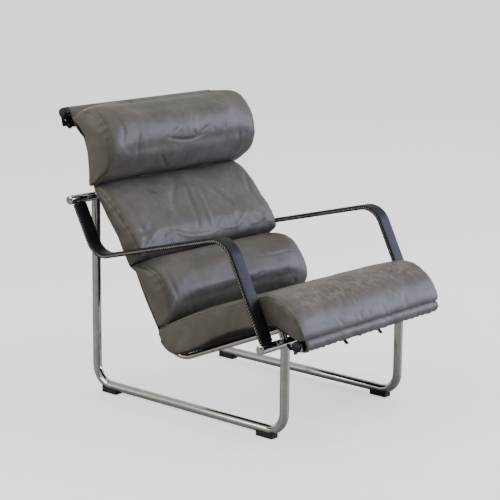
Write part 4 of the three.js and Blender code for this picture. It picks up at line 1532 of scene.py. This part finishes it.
# The slim pad between the rolls, slacker than they are.
UPPER = PadShape(
    "upper_back_cushion", "upper_back_pad", half_width=291, rounding=22, bulge=5, rim=Rim.back,
    swell=6, fill=0.5, fine=1.7, wear=0.12,
    end=(
        (284, 12.5), (281, 40), (288, 66), (318, 70), (373, 66), (434, 51), (491, 34),
        (520, 26), (528, 19), (525, 12.5),
    ),
    middle=(
        (285, 12.5), (281, 42), (290, 69), (320, 77), (373, 73), (434, 61), (491, 46),
        (519, 33), (529, 20), (525, 12.5),
    ),
    creases=creased(
        (((-38, 481, 49), (-66, 455, 56), (-89, 424, 63), (-97, 392, 70), (-94, 377, 72)),
          9, 3.6, 0.15),
        (((-5, 476, 50), (-17, 434, 61), (-23, 396, 69), (-34, 357, 75), (-51, 328, 77)),
          9, 3.8, 0.15),
        (((23, 458, 55), (26, 427, 63), (19, 390, 70), (13, 353, 75), (9, 334, 77)),
          8, -3.4, 0, 0.25),
        (((61, 479, 50), (90, 448, 58), (113, 414, 66), (131, 383, 72)), 9, 3.4, 0.15),
        (((-160, 500, 43), (-144, 476, 51), (-128, 467, 53)), 8, 3, 0.15),
        (((-176, 327, 77), (-140, 336, 77), (-98, 320, 77), (-40, 311, 76), (14, 312, 76),
          (35, 322, 77), (56, 342, 76)), 7, -2.2, 0, 0.3),
        (((-150, 348, 77), (-98, 334, 77), (-40, 326, 76), (14, 328, 76)), 8, 1.6, 0.1),
        (((55, 319, 77), (108, 317, 77), (143, 335, 77), (164, 354, 75)), 7, -2.6, 0, 0.2),
        (((167, 313, 77), (215, 318, 77), (261, 339, 77)), 7, -2.4, 0, 0.15),
        (((-279, 366, 73), (-249, 354, 75), (-208, 357, 75)), 8, 2.6, 0.15),
        (((-268, 480, 38), (-246, 430, 56), (-252, 380, 68), (-240, 320, 70)), 11, 3.6, 0.1),
        (((262, 470, 40), (240, 420, 60), (246, 370, 70)), 11, 3.2, 0.1),
    ),
)

# The roll behind the small of the back.
LUMBAR = PadShape(
    "lumbar_roll_pad", "lumbar_roll", half_width=295, bulge=6, rim=Rim.back, swell=6.5,
    fill=0.8, wear=0.1,
    end=(
        (97, 13), (91, 43), (92.6, 70), (106, 96), (144, 113), (190, 112), (230, 99),
        (261, 72), (275, 43), (279, 13),
    ),
    middle=(
        (97, 13), (90, 44), (96.4, 83.7), (115.3, 109.2), (137.2, 120), (172.8, 124.4),
        (223.9, 119.5), (256.1, 103.6), (275, 74.3), (284.6, 34.3), (283, 13),
    ),
    creases=creased(
        (((58, 143, 117), (69, 156, 119), (98, 160, 119)), 5, 1.6, 0.1, 0.2),
        (((113, 203, 118), (171, 199, 118), (263, 198, 118)), 4, 0.9, 0.1, 0.2),
        (((-274, 152, 117), (-286, 132, 110), (-294, 110, 93)), 5, -1.6, 0, 0.3),
        (((-262, 240, 92), (-268, 200, 110), (-266, 150, 114)), 9, 2.2, 0.05),
    ),
)

# The seat, which turns up behind and rolls over in front.
SEAT = PadShape(
    "seat_cushion", "seat_pad", half_width=291, rounding=26, bulge=4, flare=9, swell=5,
    rim=Rim.seat, fill=0.65, wear=0.95, rows=(4, 8), pale_thread=True,
    end=(
        (2, 84), (12, 95), (60, 100), (141.4, 106), (240, 104), (342, 99.4), (400, 97),
        (444, 89), (480, 66), (500, 36), (511, 2.5), (515, -28), (510, -43),
    ),
    middle=(
        (2, 86), (12, 98), (60, 104), (141.4, 108), (240, 106), (342, 102), (400, 99),
        (446, 91), (482, 70), (504, 40), (515, 2.5), (518, -30), (510, -46),
    ),
    under=(
        (495, -40), (475, -21), (452, -2), (430, 9), (395, 12.5), (300, 12.5), (180, 12.5),
        (66, 12.5), (36, 17), (20, 30), (10, 52),
    ),
    creases=creased(
        (((-69, 490, 55), (-56, 506, 32), (-52, 515, 5), (-31, 517, -24)), 3, 0.7, 0, 0.8),
        (((3, 489, 56), (15, 503, 36), (25, 511, 19), (30, 516, -4)), 3, 0.7, 0, 0.9),
        (((-160, 494, 50), (-186, 512, 17), (-196, 516, -5)), 3, 0.8, 0, 0.7),
        (((-72, 483, 64), (-74, 501, 39), (-80, 512, 18)), 3, 0.6, 0, 0.8),
        (((54, 497, 45), (89, 510, 22), (118, 515, 1), (144, 517, -22)), 3, 0.7, 0, 0.8),
        (((-12, 479, 68), (-6, 500, 41), (8, 511, 19), (22, 515, 1)), 3, 0.6, 0, 1.0),
        (((169, 497, 46), (177, 509, 24), (183, 515, 4)), 3, 0.6, 0, 0.9),
        (((-107, 496, 46), (-107, 510, 23), (-108, 515, 2)), 3, 0.6, 0, 0.8),
        (((-82, 517, -12), (-81, 514, -34)), 6, 2.2, 0.1),
        (((-53, 517, -10), (-54, 515, -34)), 6, 2.2, 0.1),
        (((-20, 517, -8), (-16, 515, -33)), 6, 2, 0.1),
        (((-150, 516, -10), (-130, 512, -36)), 7, 2, 0.1),
        (((40, 516, -10), (52, 512, -36)), 7, 2, 0.1),
        (((150, 516, -8), (140, 512, -34)), 8, 2, 0.1),
        (((-267, 512, -8), (-217, 516, -12), (-144, 516, -14)), 7, 1.6, 0.05),
    ),
)


@dataclass
class Pad(Assembly):
    """A sewn leather pad: skinned between its end seams, inflated, creased and stitched."""

    shape: PadShape  # its outlines and folds
    line: SideLine  # the run of the rails that it is measured on
    facing: int = 60  # stretches that its front is divided into; its underside has as many
    stations: int = 88  # stretches across it
    crowding: float = 0.6  # share of the stations' places that crowd towards its ends
    panel_rings: int = 8  # stretches across an end panel
    slim: float = 5  # how much smaller it starts, so that it swells to its size
    slims: SidePoint = (20, 30)  # height off the rails where that sets in, and over how much
    rim_top: float = 62  # height up to which it follows the sling's edge
    rim_fade: float = 40  # over how much it lets go of it below there
    flares: SidePoint = (425, 55)  # where along its line the flare sets in, and over how much
    held_to: float = 19  # height off the rails up to which it is held while it is blown up
    frames: int = 20  # length of the simulation
    pressure: float = 4  # of the air in it
    stiffness: float = 14  # of the hide, stretched or squeezed
    seam_width: float = 2.6  # of the groove at an end seam
    seam_depth: float = 1.6  # of that groove
    gather_width: float = 15  # how far from the seam the gathers reach
    gather_depth: float = 0.35  # of a gather
    gather_size: float = 4.6  # length of a gather, over a full turn
    shut_width: float = 1.3  # of the line of painted shade in the seam's groove
    stitch_pitch: float = 6.5  # of the visible stitches
    stitch_share: float = 0.62  # how much of its pitch a stitch is long
    stitch_thickness: float = 0.85  # of a stitch

    def build(self) -> None:
        """Make the pad and its stitches."""
        obj = self.skinned()
        self.inflate(obj)
        seams = self.seam_lines(obj)
        self.refine(obj)
        self.sculpt(obj, seams)
        self.keep(obj, Slot.HIDE, self.shape.node)
        self.stitches(obj, seams)

    def roundness(self, x: float) -> float:
        """Share of the full outline at a place across the pad, 0 at the end seams."""
        gone = 1 - share_of(self.shape.half_width - abs(x), 0, self.shape.rounding)
        return math.sqrt(max(0.0, 1 - gone * gone))

    def ring_points(self, x: float) -> list[Vector]:
        """The pad's outline at a place across it: its front, then its underside.

        Args:
            x: The place, in millimetres.

        Returns:
            Points in metres.
        """
        shape, share = self.shape, self.roundness(x)
        ends, full = (
            resampled([Vector(point) for point in outline], self.facing)
            for outline in (shape.end, shape.middle)
        )
        front = [end.lerp(middle, share) for end, middle in zip(ends, full)]
        under = [front[-1], *(Vector(point) for point in shape.under), front[0]]
        flat = front + resampled(under, self.facing)[1:-1]
        centre = sum(flat, Vector((0, 0))) / len(flat)
        slim = self.slim
        made = []
        for point in flat:
            inward = (centre - point).normalized() * slim * share_of(point.y, *self.slims)
            lifted = 0.0
            if shape.rim:
                let_go = share_of(self.rim_top - point.y, 0, self.rim_fade)
                lifted = Rim().lift(shape.rim, x, point.x) * let_go
            ahead = share_of(point.x, *self.flares)
            wide = x * (1 + shape.flare * ahead * ahead * (3 - 2 * ahead) / shape.half_width)
            made.append(self.line.at(wide, point.x + inward.x, point.y + inward.y + lifted))
        return made

    def skinned(self) -> Object:
        """Skin the pad from its right end seam to its left, with a bulging panel at each end.

        Returns:
            An object with a closed mesh.
        """
        even = np.linspace(-1, 1, self.stations + 1)
        crowded = self.crowding * np.sin(even * math.pi / 2)
        places = self.shape.half_width * ((1 - self.crowding) * even + crowded)
        bm = bmesh.new()
        first = ring = [bm.verts.new(point) for point in self.ring_points(places[0])]
        edges = [bm.edges.new(pair) for pair in zip(ring, ring[1:] + ring[:1])]
        for x in places[1:]:
            points = self.ring_points(x)
            edges = carried_on(bm, edges, Matrix.Identity(4))
            ring = self.following(ring, edges)
            for vert, point in zip(ring, points):
                vert.co = point
        self.close_end(bm, first, -1)
        self.close_end(bm, ring, 1)
        bmesh.ops.remove_doubles(bm, verts=bm.verts, dist=2 * MERGE)
        bmesh.ops.recalc_face_normals(bm, faces=bm.faces)
        return mesh_object(self.shape.name, bm, [self.finishes.grey])

    @staticmethod
    def following(ring: Verts, edges: Ring) -> Verts:
        """Find the new corners that were extruded from a ring.

        Args:
            ring: The ring's corners.
            edges: The new edges.

        Returns:
            The new corners in the ring's order.
        """
        fresh = {vert for edge in edges for vert in edge.verts}
        pairs = ((edge.other_vert(vert) for edge in vert.link_edges) for vert in ring)
        return [next(vert for vert in others if vert in fresh) for others in pairs]

    def close_end(self, bm: BMesh, ring: Verts, sign: int) -> None:
        """Close an end with a panel that runs from the front's seam to the underside and swells.

        Args:
            bm: The pad's mesh.
            ring: The corners of the end seam, the front's first.
            sign: The side of the chair.
        """
        front = ring[: self.facing + 1]
        back = [front[0], *reversed(ring[self.facing + 1 :]), front[-1]]
        starts = [vert.co.copy() for vert in front]
        ends = [vert.co.copy() for vert in back]
        edges = [bm.edges.get(pair) for pair in pairwise(front)]
        chain = front
        for index in range(1, self.panel_rings + 1):
            share = index / self.panel_rings
            edges = carried_on(bm, edges, Matrix.Identity(4))
            chain = self.following(chain, edges)
            swell = self.shape.bulge * MM * (math.sin(math.pi * share) ** 0.6)
            places = np.linspace(0, 1, len(chain))
            for vert, start, end, place in zip(chain, starts, ends, places):
                tip = math.sin(math.pi * float(place)) ** 0.5
                vert.co = start.lerp(end, share) + Vector((sign * swell * tip, 0, 0))

    def inflate(self, obj: Object) -> None:
        """Blow the pad up with a cloth simulation, held where it lies on the sling.

        Args:
            obj: The pad, whose mesh is changed.
        """
        before = point_array(obj.data)
        held = obj.vertex_groups.new(name="held")
        _, off = self.measured(before)
        held.add([int(index) for index in np.nonzero(off < self.held_to)[0]], 1.0, "REPLACE")
        cloth = obj.modifiers.new("inflate", "CLOTH")
        settings = cloth.settings
        settings.quality = 4
        settings.tension_stiffness = settings.compression_stiffness = self.stiffness
        settings.bending_stiffness = 1.0
        settings.use_pressure = True
        settings.uniform_pressure_force = self.pressure
        settings.effector_weights.gravity = 0
        settings.vertex_group_mass = held.name
        cloth.collision_settings.use_collision = False
        cloth.point_cache.frame_end = self.frames
        scene = bpy.context.scene
        for number in range(1, self.frames + 1):
            scene.frame_set(number)
        blown = self.evaluated(obj)
        move = point_array(blown) - before
        bpy.data.meshes.remove(blown)
        obj.modifiers.clear()
        obj.vertex_groups.clear()
        scene.frame_set(1)
        length = np.linalg.norm(move, axis=1, keepdims=True)
        share = length / max(1e-9, float(np.percentile(length, 90)))
        move *= self.shape.swell * MM * np.minimum(1.0, share) / np.maximum(length, 1e-9)
        obj.data.vertices.foreach_set("co", (before + move).ravel())
        obj.data.update()

    @staticmethod
    def evaluated(obj: Object) -> bpy.types.Mesh:
        """A new mesh of an object as its modifiers leave it."""
        graph = bpy.context.evaluated_depsgraph_get()
        return bpy.data.meshes.new_from_object(obj.evaluated_get(graph))

    def refine(self, obj: Object) -> None:
        """Subdivide the pad once and keep the result as its mesh.

        Args:
            obj: The pad, whose mesh is changed.
        """
        smooth = obj.modifiers.new("subdivide", "SUBSURF")
        smooth.levels = smooth.render_levels = 1
        fine, coarse = self.evaluated(obj), obj.data
        obj.modifiers.clear()
        obj.data = fine
        bpy.data.meshes.remove(coarse)
        fine.name = obj.name

    def measured(self, places: np.ndarray) -> tuple[np.ndarray, np.ndarray]:
        """Distances of points, in metres, along and off the pad's line, in millimetres."""
        flat = places[:, 1:] / MM - np.array(self.line.start)
        return flat @ np.array(self.line.along), flat @ np.array(self.line.off)

    @staticmethod
    def surface(obj: Object) -> BVHTree:
        """An object's surface, to find the nearest points on."""
        return BVHTree.FromObject(obj, bpy.context.evaluated_depsgraph_get())

    def seam_lines(self, obj: Object) -> list[np.ndarray]:
        """Where the front meets the end panels, read from the inflated mesh.

        Args:
            obj: The pad before it is refined.

        Returns:
            The points of each end's seam, in metres.
        """
        near = self.surface(obj)
        lines = []
        for x in (-self.shape.half_width, self.shape.half_width):
            wanted = self.ring_points(x)[: self.facing + 1]
            lines.append(np.array([near.find_nearest(point)[0] for point in wanted]))
        return lines

    def sculpt(self, obj: Object, seams: list[np.ndarray]) -> None:
        """Press folds and seams in, add small wrinkles, paint wear, and paint shade into folds and
        seams.

        Args:
            obj: The pad.
            seams: Its end seams.
        """
        mesh = obj.data
        co = point_array(mesh)
        normals = np.empty(len(co) * 3)
        mesh.vertices.foreach_get("normal", normals)
        depth = np.array([self.wrinkle(Vector(point)) for point in co / MM]) * self.shape.fine
        # painted shade for the bottoms of dark creases and for the seams' grooves
        shut = np.zeros(len(co))
        rubbed = np.zeros(len(co))
        surface = self.surface(obj)
        for crease in self.shape.creases:
            places = [self.line.at(*place) for place in crease.points]
            course = resampled(places, 4 * len(places))
            points = np.array([surface.find_nearest(point)[0] for point in course])
            pressed = near_line(co, points, crease.width, True)
            depth += pressed * crease.depth
            shut = np.maximum(shut, pressed * crease.dark)
            rubbed = np.maximum(rubbed, pressed * crease.pale)
        waves = np.sin(co @ np.array((0.0, 0.8, 1.0)) / MM / self.gather_size)
        for seam in seams:
            pressed = near_line(co, seam, self.seam_width, False)
            gathers = waves * near_line(co, seam, self.gather_width, False)
            depth += pressed * self.seam_depth + gathers * self.gather_depth
            # painted shade along the groove of each end seam
            shut = np.maximum(shut, near_line(co, seam, self.shut_width, False) * 0.75)
        co -= normals.reshape(-1, 3) * depth[:, None] * MM
        mesh.vertices.foreach_set("co", co.ravel())
        wear = 0.03 + self.shape.wear * self.high(co) + rubbed
        for name, values in (("wear", wear), ("shut", shut)):
            layer = mesh.attributes.new(name, "FLOAT", "POINT")
            layer.data.foreach_set("value", values.astype(np.float32))
        mesh.update()

    def high(self, co: np.ndarray) -> np.ndarray:
        """How high points stand off the pad's line, less towards its ends.

        Args:
            co: The points, in metres.

        Returns:
            A number from 0 to 1 for each.
        """
        _, off = self.measured(co)
        high = ((off - np.percentile(off, 40)) / 40).clip(0, 1)
        return high * ((self.shape.half_width - np.abs(co[:, 0]) / MM) / 60).clip(0, 1)

    @staticmethod
    def wrinkle(point: Vector) -> float:
        """Depth of the small wrinkles at a point: broad waves and narrow folds."""
        narrow = Vector((point.x / 30, point.y / 38, point.z / 38)) + Vector((7, 3, 1))
        return noise.noise(point / 62) + abs(noise.noise(narrow)) * 0.9 - 0.35

    def stitches(self, obj: Object, seams: list[np.ndarray]) -> None:
        """Sew rows of visible stitches beside each end seam.

        Args:
            obj: The pad.
            seams: Its end seams.
        """
        surface = self.surface(obj)
        proud = 0.15 * MM
        bm = bmesh.new()
        for seam, distance in product(seams, self.shape.rows):
            inward = Vector((-math.copysign(distance * MM, seam[0][0]), 0, 0))
            points = [Vector(point) + inward for point in seam]
            row = resampled(points, round(length_of(points) / MM / self.stitch_pitch))
            for here, after in zip(row[2:-3], row[3:-2]):
                place, normal, _, _ = surface.find_nearest(here)
                side = (after - here).normalized().cross(normal).normalized()
                lie = placed(side, normal.cross(side), normal, place + normal * proud)
                length = self.stitch_pitch * self.stitch_share
                stitch(bm, lie, length, self.stitch_thickness)
        finishes = self.finishes
        thread = finishes.grey_thread if self.shape.pale_thread else finishes.dark_thread
        self.keep(made_object(f"{self.shape.name}_stitches", bm, [thread]), Slot.HIDE)


@dataclass
class Cushions(Assembly):
    """The four pads of the chair."""

    def build(self) -> None:
        """Make the pads from the top down."""
        back, seat = self.layout.back, self.layout.seat
        for shape, line in ((HEAD, back), (UPPER, back), (LUMBAR, back), (SEAT, seat)):
            pad = Pad(self.layout, self.finishes, shape, line)
            pad.build()
            self.pieces += pad.pieces


# Belts


@dataclass(frozen=True)
class Hem:
    """How the straps run at one of the bars."""

    place: Place  # which bar it is
    line: SideLine  # the line through the bar
    length: float  # how far the sling's hem comes back from the bar
    tail: float  # length of a corner strap's hanging end
    run: float  # from a hem strap's turn to where it lies against the sling
    drop: float  # how far a hem strap's loose end hangs down


@dataclass
class Belts(Assembly):
    """Straps that pull the sling's hems round the bars, with chromed buckles at the corners."""

    sling: Sling  # the sling, whose offsets the straps follow
    width: float = 12  # of a strap
    thickness: float = 2.2  # of a strap
    easing: float = 0.6  # radius of its edges
    sewn_at: float = 42  # from the bar's axis to where a corner strap starts on the hem
    bends_at: float = 28  # from the bar's axis to where it leaves the hem
    moves_out: float = 22  # length in which it moves out past the sling's edge
    hangs_at: float = 4  # from the bar's axis to where its tail hangs down
    inner: float = 281  # from the middle plane to where it is sewn on the hem
    sidestep: float = 14.6  # how far it moves out from there
    hem_across: float = 75  # from the middle plane to a hem strap
    sewn_length: float = 12  # how far a hem strap lies on the hem
    slack: float = 4  # how far it passes the hem before it turns
    free_run: float = 45  # length of its end on the sling's back

    @property
    def gap(self) -> float:
        """From the middle of the hide to the middle of a strap that lies on it."""
        return self.sling.thickness / 2 + CLEARANCE + self.thickness / 2

    def build(self) -> None:
        """Make the straps at both bars, and give the buckles their finish."""
        lay, sling = self.layout, self.sling
        hems = (
            Hem(Place.TOP, lay.upper, sling.top_hem, tail=30, run=60, drop=40),
            Hem(Place.FRONT, lay.nose, sling.front_hem, tail=10, run=26, drop=36),
        )
        for hem, side in product(hems, Side):
            self.corner_strap(hem, side)
            self.hem_strap(hem, side)
            self.dress(f"buckle_{hem.place.value}_end_{side.word}", self.finishes.chrome)

    def strap(self, name: str, frames: list[Matrix], *nodes: str) -> None:
        """Sweep a strap along frames.

        Args:
            name: Name of the piece.
            frames: Its line.
            *nodes: CAD nodes that it stands for.
        """
        bm = bmesh.new()
        sweep(bm, flat_section(bm, self.width, self.thickness, self.easing, frames[0]), frames)
        obj = made_object(name, bm, [self.finishes.strap, self.finishes.raw])
        self.keep(obj, Slot.STRAP, *nodes)

    def corner_strap(self, hem: Hem, side: Side) -> None:
        """A strap from the hem past the sling's edge, round the bar, and hanging down.

        Args:
            hem: The bar that it is at.
            side: Side of the chair.
        """
        line, word = hem.line, hem.place.value
        back = self.sling.wrap_off + self.gap
        bar = SlingBars.radius + CLEARANCE + self.thickness / 2
        top = line.flat(-self.hangs_at, -bar)
        corners = [
            *cornered(line, (-self.sewn_at, -back), (-self.bends_at, -back, 2)),
            *cornered(line, (-bar, -back, back - bar), (-bar, bar, bar), (bar, bar, bar)),
            *cornered(line, (bar, -bar, bar)),
            Corner(top, 4),
            Corner(top - Vector((0, hem.tail))),
        ]
        frames = bent_frames(corners, 0, 10)
        for frame_at in frames:
            place = Vector((frame_at.translation.y, frame_at.translation.z)) / MM - line.start
            moved = 1.0
            if place.dot(line.off) < -bar - 0.5:
                moved = share_of(place.dot(line.along), -self.sewn_at, self.moves_out)
            across = self.inner + self.sidestep * moved
            frame_at.translation.x = side.sign * across * MM
        node = f"belt_{word}_end_{side.word}"
        self.strap(f"corner_strap_{word}_{side.word}", frames, node)

    def hem_strap(self, hem: Hem, side: Side) -> None:
        """A strap from the hem to the sling's back, with a second end that hangs free.

        Args:
            hem: The bar that it is at.
            side: Side of the chair.
        """
        lay, line, word = self.layout, hem.line, hem.place.value
        off, back = self.sling.rail_off - self.gap, -(self.sling.wrap_off + self.gap)
        turn_at = -hem.length - self.slack
        turn = line.flat(turn_at, back)
        corners = [
            Corner(line.flat(self.sewn_length - hem.length, back)),
            Corner(turn, 6),
            Corner(line.flat(turn_at - hem.run, off), 12),
        ]
        if hem.place is Place.TOP:
            corners.append(Corner(line.flat(turn_at - hem.run - self.free_run, off)))
        else:
            end = lay.nose_corner - lay.seat.along * self.free_run + lay.seat.off * off
            corners += [lay.over_nose(off), Corner(end)]
        across = side.sign * self.hem_across
        node = f"belt_{word}_mid_{side.word}"
        self.strap(f"hem_strap_{word}_{side.word}", bent_frames(corners, across, 10), node)
        curl = [
            Corner(turn),
            Corner(turn - Vector((0, hem.drop * 0.5)), 12),
            Corner(turn - Vector((13, hem.drop * 0.8))),
        ]
        self.strap(f"strap_tail_{word}_{side.word}", bent_frames(curl, across, 8))


# Room


@dataclass(frozen=True)
class SoftLight:
    """A rectangular soft light."""

    name: str  # its name
    at: Triple  # its place in metres
    towards: Triple  # what it points at
    size: tuple[float, float]  # its width and height in metres
    watts: float  # its power
    tone: str = "#fffaf2"  # its colour

    def build(self) -> None:
        """Add the light."""
        data = bpy.data.lights.new(self.name, "AREA")
        data.shape = "RECTANGLE"
        data.size, data.size_y = self.size
        data.energy = self.watts
        data.color = linear(self.tone)[:3]
        obj = linked(self.name, data)
        obj.location = self.at
        way = Vector(self.towards) - Vector(self.at)
        obj.rotation_euler = way.to_track_quat("-Z", "Y").to_euler()


@dataclass(frozen=True)
class Studio:
    """Plain pale floor, wide soft lights and the camera of the photograph."""

    eye: Triple = (-3.42554, -2.94951, 1.40171)  # where the camera is, in metres
    ahead: Triple = (0.74096418, 0.63715437, -0.21214713)  # direction that it looks in
    up: Triple = (0.15432704, 0.14589401, 0.97718888)  # direction of the picture's upper edge
    focal_pixels: float = 1652.5  # its focal length in pixels of the photograph
    floor_radius: float = 30  # of the floor, in metres
    # The soft lights.
    lights: tuple[SoftLight, ...] = (
        SoftLight("window", (3.7, -3.5, 1.65), (0, 0, 0.4), (4.6, 3.0), 330, "#d6ddff"),
        SoftLight("left_fill", (-3.6, 1.6, 2.6), (0, 0, 0.4), (2.6, 2.4), 100),
        SoftLight("ceiling", (0.2, -0.4, 3.6), (0, 0, 0), (3.6, 3.6), 55),
    )
    # Tones that mirrors show, from ahead of the camera round to behind it.
    walls: tuple[tuple[float, str], ...] = (
        (0.0, "#e9e9ea"), (0.3, "#dcdcdc"), (0.4, "#2f2f2e"), (0.47, "#3a3a39"),
        (0.52, "#ffffff"), (0.56, "#f2f2f2"), (0.575, "#2a2a2a"), (0.59, "#f6f6f6"),
        (0.62, "#f2f2f2"), (0.66, "#3f3f3e"), (0.85, "#6f6f6d"), (1.0, "#8f8f8c"),
    )
    sky: str = "#b9b7b3"  # the tone that they show above
    seen: str = "#f0f0f2"  # the tone behind the chair
    strengths: tuple[float, float] = (1.3, 3.2)  # of the room for reflections and for the camera

    def build(self) -> None:
        """Make the floor, lights, world and camera."""
        self.floor()
        for light in self.lights:
            light.build()
        self.world()
        self.camera()

    def floor(self) -> None:
        """A wide pale floor, which mirrors show as the duller concrete of the photograph."""
        surface = Surface("pale_studio_floor")
        pale = surface.ramp(surface.clouds(900, 2), (0.3, "#e6e4e1"), (0.7, "#e9e8e5"))
        material = surface.finished(
            base_color=surface.mixed(surface.ray("Glossy"), pale, linear("#8b8b8a")),
            roughness=0.55,
            emission_strength=surface.product(surface.ray("Camera"), 0.9),
        )
        bm = bmesh.new()
        bmesh.ops.create_circle(bm, cap_ends=True, segments=64, radius=self.floor_radius)
        made_object("studio_floor", bm, [material])

    def world(self) -> None:
        """An even pale room, with upright bands to the sides that only reflections show."""
        world = bpy.data.worlds.new("pale_room")
        world.use_nodes = True
        nodes = Nodes(world.node_tree)
        way = nodes.add("TexCoord").outputs["Generated"]
        back = Vector((-self.ahead[0], -self.ahead[1], 0)).normalized()
        facing = nodes.add("VectorMath", operation="DOT_PRODUCT", in_0=way, in_1=back)
        turn = nodes.add("MapRange", value=facing.outputs["Value"], from_min=-1.0, from_max=1.0)
        walls = nodes.ramp(turn.outputs["Result"], *self.walls)
        height = nodes.add("SeparateXYZ", vector=way).outputs["Z"]
        above = nodes.ramp(height, (0.35, 0.0), (0.6, 1.0))
        camera = nodes.ray("Camera")
        room = nodes.mixed(above, walls, linear(self.sky))
        room = nodes.mixed(camera, room, linear(self.seen))
        low, high = self.strengths
        strength = nodes.add("MapRange", value=camera, to_min=low, to_max=high).outputs["Result"]
        shade = nodes.add("Background", color=room, strength=strength)
        nodes.add("OutputWorld", surface=shade.outputs["Background"])
        bpy.context.scene.world = world

    def camera(self) -> None:
        """The photograph's camera."""
        data = bpy.data.cameras.new("photo_camera")
        data.sensor_width = SENSOR
        data.lens = self.focal_pixels / PHOTO_PIXELS * SENSOR
        data.clip_end = 100
        obj = linked("photo_camera", data)
        ahead, up = Vector(self.ahead), Vector(self.up)
        right = ahead.cross(up).normalized()
        obj.matrix_world = placed(right, up, -ahead, Vector(self.eye))
        bpy.context.scene.camera = obj


def main() -> None:
    """Build the room and the chair's sub-assemblies in order, and report each piece."""
    layout, finishes = Layout(), Finishes()
    Studio().build()
    sling = Sling(layout, finishes)
    for part in (
        SledFrame(layout, finishes),
        CrossTubes(layout, finishes),
        SeatRails(layout, finishes),
        SlingBars(layout, finishes),
        Armrests(layout, finishes),
        sling,
        Cushions(layout, finishes),
        Belts(layout, finishes, sling),
    ):
        part.build()
        for piece in part.pieces:
            log.info("%s: %s", type(part).__name__, piece.name)


if __name__ == "__main__":
    main()
